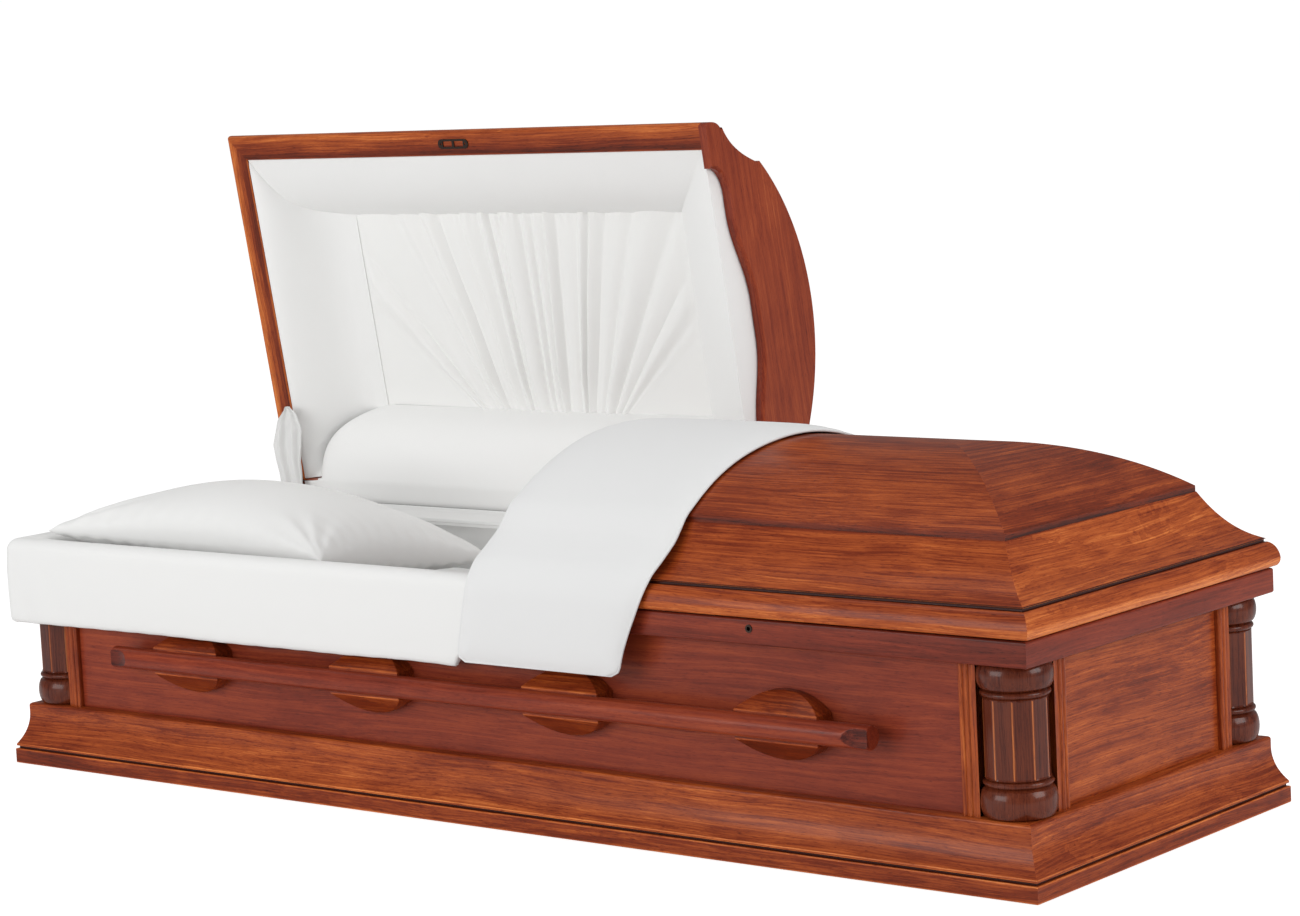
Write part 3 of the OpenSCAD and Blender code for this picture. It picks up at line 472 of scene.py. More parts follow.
def soften(loop, radius=1.0, steps=3, least=26.0, guard=1.8):
    """Eases each corner that turns more than least degrees, and returns the wear and painted light too: 1
    on an outside corner, lighter as worn stain and a painted highlight, and -1 on an inside corner, darker
    as painted shade.

    The curve is the blend (1-t)^2 A + 2t(1-t) P + t^2 C from point A before corner P to point C after it.
    """
    p = np.asarray(loop, float)
    p = p[np.linalg.norm(p - np.roll(p, 1, 0), axis=1) > 1e-6]
    to_last, to_next = np.roll(p, 1, 0) - p, np.roll(p, -1, 0) - p
    last, following = np.linalg.norm(to_last, axis=1), np.linalg.norm(to_next, axis=1)
    ul, un = to_last / last[:, None], to_next / following[:, None]
    turn = np.degrees(np.arctan2(-ul[:, 0] * un[:, 1] + ul[:, 1] * un[:, 0], -(ul * un).sum(1)))
    area = (p[:, 0] * np.roll(p[:, 1], -1) - p[:, 1] * np.roll(p[:, 0], -1)).sum()
    convex = np.sign(turn * area)
    sharp = np.abs(turn) > least
    cut = np.where(sharp, np.minimum(radius, 0.38 * np.minimum(last, following)), 0)
    far_l, far_n = np.minimum(cut + guard, 0.46 * last), np.minimum(cut + guard, 0.46 * following)
    t = np.linspace(0, 1, steps + 1)[None, :, None]
    a, c = (p + ul * cut[:, None])[:, None], (p + un * cut[:, None])[:, None]
    curve = (1 - t) ** 2 * a + 2 * t * (1 - t) * p[:, None] + t ** 2 * c
    rows = np.concatenate([(p + ul * far_l[:, None])[:, None], curve,
                           (p + un * far_n[:, None])[:, None]], 1)
    wear = np.zeros(rows.shape[:2])
    wear[:, 1:-1] = convex[:, None]
    keep = np.repeat(sharp[:, None], rows.shape[1], 1)
    rows[~sharp, 0], wear[~sharp, 0] = p[~sharp], 0
    keep[:, 0] = True
    return rows[keep], wear[keep]


def long_run(section, side, x0, x1, mitre0=True, mitre1=True):
    """A section of insets and heights carried along the front (side -1) or back (side 1)."""
    inset, z = section.T
    y = side * (HALF_W - inset)
    ends = [x0 + inset * mitre0, x1 - inset * mitre1]
    return prism(np.stack([np.column_stack([np.broadcast_to(x, z.shape), y, z]) for x in ends]))


def cross_run(section, side):
    """The same section carried across the head (side -1) or the foot (side 1), mitred at both ends."""
    inset, z = section.T
    x = side * (HALF_L - inset)
    return prism(np.stack([np.column_stack([x, s * (HALF_W - inset), z]) for s in (-1, 1)]))


def four_sides(stem, section, wear, tones, material=WOOD):
    """The four mitred sides of a frame, each a piece of its own riding on the casket."""
    for k, (name, axis, side) in enumerate(SIDES):
        shape = long_run(section, side, -HALF_L, HALF_L) if axis == "x" else cross_run(section, side)
        wood_piece(f"{stem}_{name}", [part(shape, board(axis, k + len(stem)), np.tile(wear, 2),
                                           tones[k])], material=material)


# %% [markdown]
# ## Plinth and base moulding
# The casket stands on a flat plinth with a mitred edge. Above it a recessed fillet throws a thin dark
# shadow, and a tall hollow curve, a cove, climbs from the plinth's edge to the wall.

# %% Plinth and base
PLINTH_W = 150.0
plinth_section, plinth_wear = soften([[0, 0], [0, PLINTH_TOP], [PLINTH_W, PLINTH_TOP],
                                      [PLINTH_W, 0]], 1.2)
plinth_wear = np.tile(plinth_wear, 2)
plinth_parts = [part(long_run(plinth_section, s, -HALF_L, HALF_L), board("x", 3 + s),
                     plinth_wear, -0.05) for s in (-1, 1)]
plinth_parts += [part(cross_run(plinth_section, s), board("y", 6 + s), plinth_wear) for s in (-1, 1)]
long, wide = HALF_L - PLINTH_W, HALF_W - PLINTH_W
middle = np.array([[[s * long, -wide, 0], [s * long, wide, 0], [s * long, wide, PLINTH_TOP],
                    [s * long, -wide, PLINTH_TOP]] for s in (-1, 1)])
plinth_parts.append(part(prism(middle), board("x", 9)))
wood_piece("plinth", plinth_parts)

FILLET, FILLET_IN, TIP_IN, COVE_TOP_IN = 4.5, 5.0, 1.6, 20.4
COVE_LOW, COVE_HIGH = 33.0, 88.0
cove_radius = ((COVE_TOP_IN - TIP_IN) ** 2 + (COVE_HIGH - COVE_LOW) ** 2) / (2 * (COVE_TOP_IN - TIP_IN))
cove_z = np.linspace(COVE_LOW, COVE_HIGH, 25)
cove = np.column_stack([COVE_TOP_IN - cove_radius + np.sqrt(cove_radius ** 2 - (COVE_HIGH - cove_z) ** 2),
                        cove_z])
base_loop = np.concatenate([[[WALL_IN, PLINTH_TOP], [FILLET_IN, PLINTH_TOP],
                             [FILLET_IN, PLINTH_TOP + FILLET], [TIP_IN, PLINTH_TOP + FILLET]],
                            cove, arc(COVE_TOP_IN + 5, BASE_TOP - 5, 5, 180, 90),
                            [[WALL_IN, BASE_TOP]]])
base_section, base_wear = soften(base_loop, 0.9)
# Painted shade: grooves and recesses are darkened in the colour by this much, here under the base's fillet
# and later in the lid moulding's groove.
GROOVE_SHADE = -2.6
base_wear[base_section[:, 1] < PLINTH_TOP + FILLET - 0.2] = GROOVE_SHADE
four_sides("base", base_section, base_wear, (0.04, 0.0, 0.04, 0.03))
print("cove radius", round(cove_radius, 1), "mm")

# %% [markdown]
# ## Walls and top rail
# Each wall is one flat board held between the corner posts, and the rail above it is a plain member
# with softly rounded edges that the lid closes on, made dark in its colour by painted shade.

# %% Wall panels
panel_loop = soften([[PANEL_IN, BASE_TOP], [PANEL_IN, RAIL_LOW], [WALL_IN, RAIL_LOW],
                     [WALL_IN, BASE_TOP]], 0.6)[0]
inset, z = panel_loop.T
for name, axis, side in SIDES:
    lengthwise = axis == "x"
    half_along, half_out = (HALF_L, HALF_W) if lengthwise else (HALF_W, HALF_L)
    out = side * (half_out - inset)
    stations = []
    for s in (-1, 1):
        flat = np.full(len(z), s * (half_along - POST_REACH))
        stations.append(np.column_stack([flat, out, z] if lengthwise else [out, flat, z]))
    wood_piece(f"panel_{name}", [part(prism(np.array(stations)), board(axis, 11 + side * 2),
                                      tone=0.0 if lengthwise else 0.05)],
               material=WOOD_RED if lengthwise else WOOD)

# %% Top rail
RAIL_ROUND = 3.5
rail_loop = np.concatenate([
    arc(RAIL_IN + RAIL_ROUND, RAIL_LOW + RAIL_ROUND, RAIL_ROUND, 270, 180, 6),
    arc(RAIL_IN + RAIL_ROUND, RAIL_TOP - RAIL_ROUND, RAIL_ROUND, 180, 90, 6),
    [[WALL_IN, RAIL_TOP], [WALL_IN, RAIL_LOW]]])
rail_section, rail_wear = soften(rail_loop, 0.8)
# The rail's low tones are painted shade: they darken it for the dark that its glossy front mirrors.
four_sides("rail", rail_section, rail_wear, (-0.16, -0.10, -0.16, -0.10), WOOD_RED)

# %% [markdown]
# The lock socket needs a true hole in the front rail, so a round cutter is taken out of it with a
# Boolean, and the result is kept as the piece's own mesh.

# %% The socket hole


def bore(obj, centre, radius, depth):
    """Cuts a round hole that runs along +Y from centre out of obj, and keeps the result as its mesh."""
    maker = bmesh.new()
    bmesh.ops.create_cone(maker, cap_ends=True, segments=48, radius1=radius * MM, radius2=radius * MM,
                          depth=depth * MM, matrix=Matrix.Translation(Vector(centre) * MM)
                          @ Matrix.Rotation(math.radians(90), 4, "X"))
    tool_mesh = bpy.data.meshes.new("bore_tool")
    maker.to_mesh(tool_mesh)
    maker.free()
    tool = bpy.data.objects.new("bore_tool", tool_mesh)
    scene.collection.objects.link(tool)
    cut = obj.modifiers.new("bore", "BOOLEAN")
    cut.operation, cut.solver, cut.object = "DIFFERENCE", "EXACT", tool
    bpy.context.view_layer.update()
    result = bpy.data.meshes.new_from_object(obj.evaluated_get(bpy.context.evaluated_depsgraph_get()))
    obj.modifiers.clear()
    obj.data = result
    bpy.data.objects.remove(tool)
    spots = np.empty(len(result.vertices) * 3, np.float32)
    result.vertices.foreach_get("co", spots)
    fibres = board("x", 14)(spots.reshape(-1, 3) / MM) * MM
    result.attributes["grain"].data.foreach_set("vector", fibres.astype(np.float32).ravel())


socket_low, socket_high = low_high("key_socket")
socket_at = (socket_low + socket_high) / 2
SOCKET_R, SOCKET_DEEP = 6.1, 18
bore(bpy.data.objects["rail_front_wood"], (socket_at[0], -HALF_W + RAIL_IN + 6, socket_at[2]), SOCKET_R,
     SOCKET_DEEP)
print("socket hole at", socket_at.round(1))

# %% [markdown]
# ## Corner posts and columns
# Each corner is a hollow post with two fluted beads on either side of a turned column. The post is an
# outline carried straight up; its hollow is the round that clears the column.

# %% Corner posts
COLUMN_IN, TORUS_R, POST_IN, BEAD_R = 72.0, 54.7, 34.0, 4.5
hollow, back_r = TORUS_R + 0.6, TORUS_R + 14.6
reach = math.sqrt(hollow ** 2 - (COLUMN_IN - POST_IN) ** 2)
start_angle = math.degrees(math.atan2(POST_IN - COLUMN_IN, reach))
back_reach = math.sqrt(back_r ** 2 - (COLUMN_IN - WALL_IN) ** 2)
back_angle = math.degrees(math.atan2(WALL_IN - COLUMN_IN, back_reach))
beads = np.concatenate([arc(POST_REACH - k * BEAD_R, POST_IN + 2, BEAD_R, 200 if k > 1 else 205,
                            335 if k > 1 else 360, 8) for k in (3, 1)])
outline = np.concatenate([
    [[COLUMN_IN + reach, POST_IN]], beads, [[POST_REACH, WALL_IN]],
    arc(COLUMN_IN, COLUMN_IN, back_r, back_angle, 90 - back_angle, 16),
    [[WALL_IN, POST_REACH]], beads[::-1, ::-1], [[POST_IN, COLUMN_IN + reach]],
    arc(COLUMN_IN, COLUMN_IN, hollow, 90 - start_angle, start_angle, 24)[1:-1]])
for corner, sx, sy in CORNERS:
    x, y = sx * (HALF_L - outline[:, 0]), sy * (HALF_W - outline[:, 1])
    levels = [np.column_stack([x, y, np.full(len(x), z)]) for z in (BASE_TOP, RAIL_LOW)]
    wood_piece(f"post_{corner}", [part(prism(np.array(levels)), board("z", 20 + sx + 2 * sy),
                                       tone=0.06)], 25)

# %% [markdown]
# A column is turned at both ends, with a fat round and a thin ring, and its shaft is planed to ten
# flats. So the radius is a function of height on the turned parts, and of the angle on the shaft: half
# the width across flats divided by the cosine of the angle from the middle of a flat. Along the shaft's
# ten edges the colour is lighter, partly stain rubbed through and partly a painted highlight, and on
# the lower turned end it is lighter where the round is fatter, as a painted highlight.

# %% Columns
SHAFT_R, FLATS = 47.0, 10
column_tall = RAIL_LOW - BASE_TOP


def swell(z0, z1, r0, r1, n=14):
    """Half outline of a round between two heights: the radius grows as half an ellipse."""
    k = np.linspace(-1, 1, n + 1)
    return np.column_stack([r0 + (r1 - r0) * np.sqrt(1 - k ** 2), z0 + (z1 - z0) * (k + 1) / 2])


neck = TORUS_R - 9
turned = np.concatenate([[[0, 0]], swell(0, 44, neck, TORUS_R), swell(45, 54, neck - 1, 50, 8),
                         [[neck + 1, 56], [neck + 1, 58]]])
turned_top = np.concatenate([[[neck + 1, column_tall - 52], [neck + 1, column_tall - 50]],
                             swell(column_tall - 48, column_tall - 39, neck - 1, 50, 8),
                             swell(column_tall - 38, column_tall, neck, TORUS_R),
                             [[0, column_tall]]])
profile = np.concatenate([turned, turned_top])
angle = np.linspace(0, 2 * np.pi, 120, endpoint=False)
flat_turn = np.pi / 4
half_flat = np.pi / FLATS
away = (angle - flat_turn + half_flat) % (2 * half_flat) - half_flat
shaft_r = np.minimum(SHAFT_R * np.cos(half_flat) / np.cos(away), SHAFT_R * 0.993)
radius = np.repeat(profile[:, :1], len(angle), 1)
is_shaft = np.zeros(len(profile), bool)
is_shaft[len(turned) - 1: len(turned) + 1] = True
radius[is_shaft] = shaft_r
# Lighter lines on the shaft's edges: worn stain and a painted highlight.
edge_wear = np.where(np.abs(np.abs(away) - half_flat) < 0.03, 1.3, 0.0)
wear_grid = np.where(is_shaft[:, None], edge_wear[None, :], 0.0)
# Painted highlight on the lower turned end: lighter the fatter the round.
wear_grid[:len(turned) - 1] += np.clip((profile[:len(turned) - 1, :1] - 46) / 60, -0.2, 0.12)
for corner, sx, sy in CORNERS:
    grid = surface(sx * (HALF_L - COLUMN_IN + radius * np.cos(angle)),
                   sy * (HALF_W - COLUMN_IN + radius * np.sin(angle)), profile[:, 1:] + BASE_TOP)
    shape = (grid.reshape(-1, 3), grid_quads(*grid.shape[:2], wrap_cols=True), [])
    wood_piece(f"column_{corner}", [part(shape, board("z", 30 + sx + 2 * sy), wear_grid)], 17,
               material=WOOD_DARK)
print("columns:", len(profile), "rings of", len(angle), "points")

# %% [markdown]
# ## Handles
# A handle block is a lens-shaped pad with a gabled face and a round channel for the bar. For each
# height its half width comes from the lens's two arcs, and its depth from the gable or the channel, so
# the block is a rectangle of changing size carried up the wall.

# %% Handle blocks
BLOCK_HALF, BLOCK_W, LIP, DEEP, THIN = 52.0, 150.0, 22.0, 38.0, 12.0
bar_low, bar_high = low_high("bar_front")
BAR_R, BAR_Z = (bar_high[2] - bar_low[2]) / 2, (bar_high[2] + bar_low[2]) / 2
BAR_Y, BAR_HALF = (bar_low[1] + bar_high[1]) / 2, bar_high[0]
BAR_OFF = -HALF_W + PANEL_IN - BAR_Y
sag = BLOCK_HALF - LIP
lens_r = ((BLOCK_W / 2) ** 2 + sag ** 2) / (2 * sag)
heights = np.unique(np.concatenate([np.linspace(-BLOCK_HALF, BLOCK_HALF, 53), [-LIP, LIP],
                                    [-BAR_R, BAR_R], [-LIP + 1, LIP - 1],
                                    BAR_R * np.sin(np.radians(np.linspace(-90, 90, 19)))]))
half_wide = np.sqrt(np.maximum(lens_r ** 2 - (np.abs(heights) + lens_r - BLOCK_HALF) ** 2, 0))
half_wide = np.minimum(half_wide, BLOCK_W / 2)
gable = np.interp(np.abs(heights), [LIP, BLOCK_HALF], [DEEP, THIN])
channel = BAR_OFF - np.sqrt(np.maximum(BAR_R ** 2 - heights ** 2, 0))
depth = np.where(np.abs(heights) < BAR_R - 1e-6, channel, gable)
EASE = 1.0
for side, letter in ((-1, "f"), (1, "b")):
    for k in (1, 2, 3, 4):
        middle_x = sum(low_high(f"block_{letter}{k}"))[0] / 2
        w, d = half_wide[:, None], depth[:, None]
        e = np.minimum(EASE, 0.3 * half_wide)[:, None]
        across = np.concatenate([-w, -w, -w + 0.3 * e, -w + e, w - e, w - 0.3 * e, w, w], 1)
        out = np.concatenate([0 * d, d - e, d - 0.3 * e, d, d, d - 0.3 * e, d - e, 0 * d], 1)
        y = side * (HALF_W - PANEL_IN + out)
        ring = surface(middle_x + across, y, BAR_Z + heights[:, None])
        edge_light_and_shade = np.zeros(across.shape)
        # Along the break where the gable starts the face is lighter: partly worn stain, partly a painted
        # highlight.
        edge_light_and_shade[:, 2:6] = np.where(np.abs(np.abs(heights) - LIP) < 1.5, 0.8, 0)[:, None]
        wood_piece(f"block_{letter}{k}", [part(prism(ring), board("x", 40 + k + side), edge_light_and_shade, -0.06)], 30)

# %% [markdown]
# The bar is a round rod. Near each end a shallow scoop is cut on its outer side, which is a cylinder
# of wide radius taken away: where the scoop is lower than the rod, the surface follows the scoop.

# %% Handle bars
SCOOP_R, SCOOP_DEEP, SCOOP_W = 60.0, 7.0, 34.0
scoop_x = BAR_HALF - SCOOP_W / 2 + 4
x_half = np.concatenate([np.linspace(0, scoop_x - 41, 20), np.linspace(scoop_x - 40, BAR_HALF, 45)])
stations_x = np.concatenate([-x_half[:0:-1], x_half])
around = np.linspace(0, 2 * np.pi, 96, endpoint=False)
BAR_EASE = 1.2
for side, name in ((-1, "front"), (1, "back")):
    end = np.clip((BAR_HALF - np.abs(stations_x)) / BAR_EASE, 0, 1)
    r = BAR_R - BAR_EASE * (1 - np.sqrt(1 - (1 - end) ** 2))
    out = r[:, None] * np.cos(around)
    edge_in = np.sqrt(np.maximum(SCOOP_R ** 2 - (np.abs(stations_x) - scoop_x) ** 2, 0))
    limit = np.where(np.abs(np.abs(stations_x) - scoop_x) < 28, SCOOP_R + BAR_R - SCOOP_DEEP - edge_in, 99)
    scooped = out > limit[:, None]
    out = np.where(scooped, limit[:, None], out)
    ring = surface(stations_x[:, None], side * (-BAR_Y + out), BAR_Z + r[:, None] * np.sin(around))
    # The scoop is darker: painted shade in the hollow.
    wood_piece(f"bar_{name}", [part(prism(ring), board("x", 50 + side), np.where(scooped, -0.9, 0.0))],
               30, material=WOOD_RED)
print("bar radius", BAR_R, "mm, half length", BAR_HALF)

# %% [markdown]
# ## The lid mouldings
# One section serves both lids: a bulging lip above the rail, a narrow groove, and a hollow slope that
# rises to the crown. The inside is cut back to leave a flat rim and an even wall.

# %% Lid section
LIP_FOOT, LIP_IN, LIP_TOP_IN, LIP_TALL, GROOVE, GROOVE_TALL = 8.0, 3.7, 17.5, 37.0, 4.0, 5.0
RIDGE_IN, RIM = 93.0, 39.0
groove_top = LID_LOW + LIP_TALL + GROOVE_TALL
CROWN_IN = RIDGE_IN + 18
t = np.linspace(0, 1, 15)[1:]
bulge = np.column_stack([
    LIP_IN + (LIP_TOP_IN - LIP_IN) * (0.75 * (1 - np.cos(np.pi / 2 * t)) + 0.25 * t),
    LID_LOW + 12 + (LIP_TALL - 12) * (0.7 * np.sin(np.pi / 2 * t) + 0.3 * t)])
slope_in = np.linspace(LIP_TOP_IN + 1, RIDGE_IN, 25)
s = (slope_in - slope_in[0]) / (slope_in[-1] - slope_in[0])
slope = np.column_stack([slope_in, groove_top + (RIDGE_Z - groove_top) * (0.42 * s + 0.58 * s ** 2.4)])
mould_outer = np.concatenate([
    [[LIP_FOOT, LID_LOW], [LIP_FOOT - 2.6, LID_LOW + 3.5], [LIP_IN + 0.4, LID_LOW + 7.5],
     [LIP_IN, LID_LOW + 12]], bulge,
    [[LIP_TOP_IN + GROOVE, LID_LOW + LIP_TALL + 0.5], [LIP_TOP_IN + GROOVE, groove_top - 0.5]], slope])
rim_in = LIP_FOOT + RIM
mould_inner = np.array([[CROWN_IN, RIDGE_Z], [CROWN_IN - 3, RIDGE_Z - 18], [CROWN_IN - 12, RIDGE_Z - 42],
                        [rim_in + 34, LID_LOW + 46], [rim_in + 12, LID_LOW + 26], [rim_in, LID_LOW + 14],
                        [rim_in, LID_LOW]])
mould_section, mould_wear = soften(np.concatenate([mould_outer, mould_inner]), 0.8, least=24)
in_groove = (np.abs(mould_section[:, 1] - groove_top + 2.5) < 3.2) & (mould_section[:, 0] < 26)
# Painted shade in the moulding's groove.
mould_wear[in_groove & (mould_section[:, 0] > LIP_TOP_IN + 1.5)] = GROOVE_SHADE
# The lip's lower round is lighter: partly worn stain, partly a painted reflection of the floor.
mould_wear[(mould_section[:, 1] < LID_LOW + 13) & (mould_section[:, 0] < 12)] = 0.75
# Painted shade: the moulding's top, just under the crown's edge, is darkened.
mould_wear[mould_section[:, 1] > RIDGE_Z - 2] = -0.5
on_rim = (mould_section[:, 1] < LID_LOW + 0.6) & (mould_section[:, 0] > 11)
mould_tone = np.tile(np.where(on_rim, -0.30, 0.0), 2)
mould_wear = np.tile(mould_wear, 2)
for lid, side, x0, x1 in (("head", -1, -HALF_L, HEAD_TO - BOARD), ("foot", 1, FOOT_BOARD, HALF_L)):
    at_head = lid == "head"
    for k, (name, s) in enumerate((("front", -1), ("back", 1))):
        shape = long_run(mould_section, s, x0, x1, at_head, not at_head)
        wood_piece(f"{lid}_mould_{name}", [part(shape, board("x", 60 + 3 * k + side), mould_wear,
                                                mould_tone)], 30, f"{lid}_lid")
    wood_piece(f"{lid}_mould_end", [part(cross_run(mould_section, side), board("y", 70 + side),
                                         mould_wear, mould_tone + 0.12)], 30, f"{lid}_lid")
print("lid section of", len(mould_section), "points")

# %% [markdown]
# ## The crown
# The crown is a shallow round from front to back that ends in a hip, where a triangular piece with the
# same curve comes down to the end moulding. Both parts are ruled surfaces: the height depends only on
# the distance from the crest line, or for the end piece, from the point where the hips meet.

# %% Crown
crown_half = HALF_W - RIDGE_IN - 1
rise = CREST - RIDGE_Z - 9
CROWN_R = (crown_half ** 2 + rise ** 2) / (2 * rise)
CROWN_T = 18.0


def crown_height(d, lift=0.0):
    """Height of the crown at distance d from the crest, on a circle; lift moves it along the radius."""
    return CREST - CROWN_R + np.sqrt((CROWN_R + lift) ** 2 - d ** 2)


def crown_parts(side, x_cut, tone):
    """The long round and the hipped end of one crown, each closed with its own thickness."""
    def long_face(t):
        d = np.linspace(-crown_half + t, crown_half - t, 65)[:, None]
        hip = side * (HALF_L - HALF_W + np.abs(d))
        grid = surface(x_cut + (hip - x_cut) * np.linspace(0, 1, 13), d, crown_height(d, -t))
        foot = grid[[0, -1]].copy()
        foot[..., 2] = RIDGE_Z
        return np.concatenate([foot[:1], grid, foot[1:]])

    def end_face(t):
        d = np.linspace(0, crown_half - t, 33)[:, None]
        grid = surface(side * (HALF_L - HALF_W + d), d * np.linspace(-1, 1, 41), crown_height(d, -t))
        foot = grid[-1:].copy()
        foot[..., 2] = RIDGE_Z
        return np.concatenate([grid, foot])

    # Painted shade: the crown's edge rows, where its face turns down to the moulding, are darkened, and the
    # rows beside them a little.
    def edge_light_and_shade(face, edge_rows):
        wear = np.zeros(face.shape[:2])
        wear[edge_rows] = -1.0
        wear[[row + (1 if row == 0 else -1) for row in edge_rows]] = -0.4
        return np.concatenate([wear.ravel(), 0 * wear.ravel()])

    outer, inner = long_face(0), long_face(CROWN_T)
    long_part = part(slab(outer, inner), board("x", 80 + side), edge_light_and_shade(outer, [0, -1]), tone)
    outer, inner = end_face(0), end_face(CROWN_T)
    end_part = part(slab(outer, inner), board("y", 84 + side), edge_light_and_shade(outer, [-1]), tone - 0.02)
    return [long_part, end_part]


wood_piece("head_crown", crown_parts(-1, HEAD_TO - BOARD, 0.0), 25, "head_lid")
wood_piece("foot_crown", crown_parts(1, FOOT_BOARD, -0.02), 25, "foot_lid")
print("crown radius", round(CROWN_R), "mm")

# %% [markdown]
# ## Header boards
# A header closes each lid at the split. Outside it has the lid's own outline; inside it is sawn to a
# long arch with rounded shoulders, and the sawn edge is chamfered on the side that shows. The board is
# a band between the two outlines, so both are sampled at the same number of places.

# %% Header boards
ARCH_IN, SHOULDER, SHOULDER_RISE, ARCH_RISE = 79.0, 52.0, 38.0, 32.0


def arch_height(i):
    """The cut-out's height: a quarter round up to the shoulder, then half a cosine wave to the middle."""
    quarter = np.sqrt(np.clip(1 - ((ARCH_IN + SHOULDER - i) / SHOULDER) ** 2, 0, 1))
    soft = np.clip((i - ARCH_IN - 1.6 * SHOULDER) / (HALF_W - ARCH_IN - 2.2 * SHOULDER), 0, 1)
    wave = (1 - np.cos(np.pi * soft)) / 2
    return np.where(i < ARCH_IN + SHOULDER, LID_LOW + SHOULDER_RISE * quarter,
                    LID_LOW + SHOULDER_RISE + ARCH_RISE * wave)


def run_length(path):
    """Distance along a path from its first point to each of its points."""
    return np.concatenate([[0], np.cumsum(np.linalg.norm(np.diff(path, axis=0), axis=1))])


def read_at(places, known, table):
    """Each column of a table, known at some places, read off in straight lines at others."""
    return np.column_stack([np.interp(places, known, column) for column in table.T])


crown_d = crown_half * (1 - np.linspace(0, 1, 31))
outer_half = np.concatenate([mould_outer, [[RIDGE_IN + 1, RIDGE_Z + 0.5]],
                             np.column_stack([HALF_W - crown_d, crown_height(crown_d)])])
inner_in = np.concatenate([ARCH_IN + SHOULDER * (1 - np.cos(np.linspace(0, np.pi / 2, 16))),
                           np.linspace(ARCH_IN + SHOULDER, HALF_W, 40)[1:]])
inner_half = np.column_stack([inner_in, arch_height(inner_in)])
share_out, share_in = run_length(outer_half), run_length(inner_half)
share_out, share_in = share_out / share_out[-1], share_in / share_in[-1]
places = np.unique(np.round(np.concatenate([share_out, share_in]), 5))
rim_out, rim_arch = read_at(places, share_out, outer_half), read_at(places, share_in, inner_half)


def header(x_shown, x_hidden):
    """The band between the outlines from the front foot to the back foot, chamfered at x_shown."""
    out = np.concatenate([rim_out, rim_out[-2::-1]])
    arch = np.concatenate([rim_arch, rim_arch[-2::-1]])
    sign = np.concatenate([-np.ones(len(rim_out)), np.ones(len(rim_out) - 1)])
    towards = out - arch
    towards /= np.linalg.norm(towards, axis=1)[:, None]
    step = np.sign(x_hidden - x_shown)
    ring = []
    for base, shift, x in ((out, -1.0, x_shown), (out, 0.0, x_shown + step * 1.0),
                           (out, 0.0, x_hidden), (arch, 0.0, x_hidden),
                           (arch, 0.0, x_shown + step * 6.0), (arch, 4.5, x_shown)):
        p = base + towards * shift
        ring.append(np.column_stack([np.full(len(p), x), sign * (HALF_W - p[:, 0]), p[:, 1]]))
    # The shown outer edge and the chamfer are lighter: partly worn stain, partly a painted highlight.
    edge_light_and_shade = np.tile([0.5, 0.2, 0.0, 0.0, 0.2, 0.6], (len(out), 1))
    return prism(np.stack(ring, 1)), edge_light_and_shade.ravel()


for lid, x_shown, x_hidden, grain, tone in (("head", HEAD_TO, HEAD_TO - BOARD, 90, -0.06),
                                            ("foot", FOOT_FROM, FOOT_BOARD, 92, -0.04)):
    shape, edge_light_and_shade = header(x_shown, x_hidden)
    wood_piece(f"{lid}_header", [part(shape, board("y", grain), edge_light_and_shade, tone)], 30, f"{lid}_lid", WOOD_RED)

# %% [markdown]
# ## Cloth
# The lining is an off-white twill. Light sinks a little way into it and comes back soft, so the shader
# has no sharp reflection, a little sheen, and a weave too fine to see except as a slight grain.

# %% The cloth material


def twill(name, colour, weave=700.0, strength=0.12):
    """Matt cloth with sheen; the weave is a pair of fine diagonal waves used as a bump."""
    n = Nodes(name)
    place = n.add("Attribute", attribute_name="grain").outputs["Vector"]
    wave = n.add("TexWave", {"Vector": place, "Scale": weave, "Distortion": 0.4, "Detail": 1.0},
                 wave_type="BANDS", bands_direction="DIAGONAL").outputs["Fac"]
    soft = n.stretched(place, (26.0, 26.0, 26.0), 3.0, 0.5)
    height = n.maths("ADD", n.maths("MULTIPLY", wave, 0.25), soft)
    bump = n.add("Bump", {"Strength": strength, "Distance": 0.0012, "Height": height})
    n.set(Normal=bump.outputs["Normal"], Base_Color=(*colour, 1), Roughness=0.85,
          Sheen_Weight=0.15, Sheen_Roughness=0.5, Specular_IOR_Level=0.15)
    return n.material


CLOTH = twill("white_twill", (0.80, 0.80, 0.79))
# A brighter copy of the same twill for the head lid's padded surround: painted light, lifting the padding
# inside the open lid.
CLOTH_LIT_LID = twill("white_twill_lit_lid", (0.89, 0.89, 0.88))
CLOTH_THROW = twill("white_quilt", (0.75, 0.752, 0.75))
CLOTH_FINE = twill("white_crepe", (0.90, 0.90, 0.885), weave=1200.0, strength=0.06)


def cloth_place(u, v):
    """Places on the cut cloth, for the weave: u across and v along, in millimetres."""
    u, v = np.broadcast_arrays(u, v)
    flat = np.column_stack([u.ravel(), v.ravel(), np.zeros(u.size)])
    return lambda points: np.resize(np.concatenate([flat, flat]), (len(points), 3))


def cloth_piece(node, parts, crease=60.0, body="casket", material=CLOTH):
    """A cloth piece in place of one node."""
    return make_piece(f"{node}_cloth", node, parts, crease, body, material)


def wander(a, b, seed, size=1.0):
    """A smooth uneven wave in [-1, 1]: the mean of five sine waves of unrelated pitch and direction."""
    rng = np.random.default_rng(seed)
    total = np.zeros(np.broadcast(a, b).shape)
    for _ in range(5):
        ka, kb = rng.uniform(-1, 1, 2) * 2 * np.pi / size
        total = total + np.sin(ka * a + kb * b + rng.uniform(0, 6.28))
    return total / 5


def crowded(count, power):
    """Places from -1 to 1 that crowd towards both ends: sign(x) (1 - (1 - |x|)^power)."""
    x = np.linspace(-1, 1, count)
    return np.sign(x) * (1 - (1 - np.abs(x)) ** power)


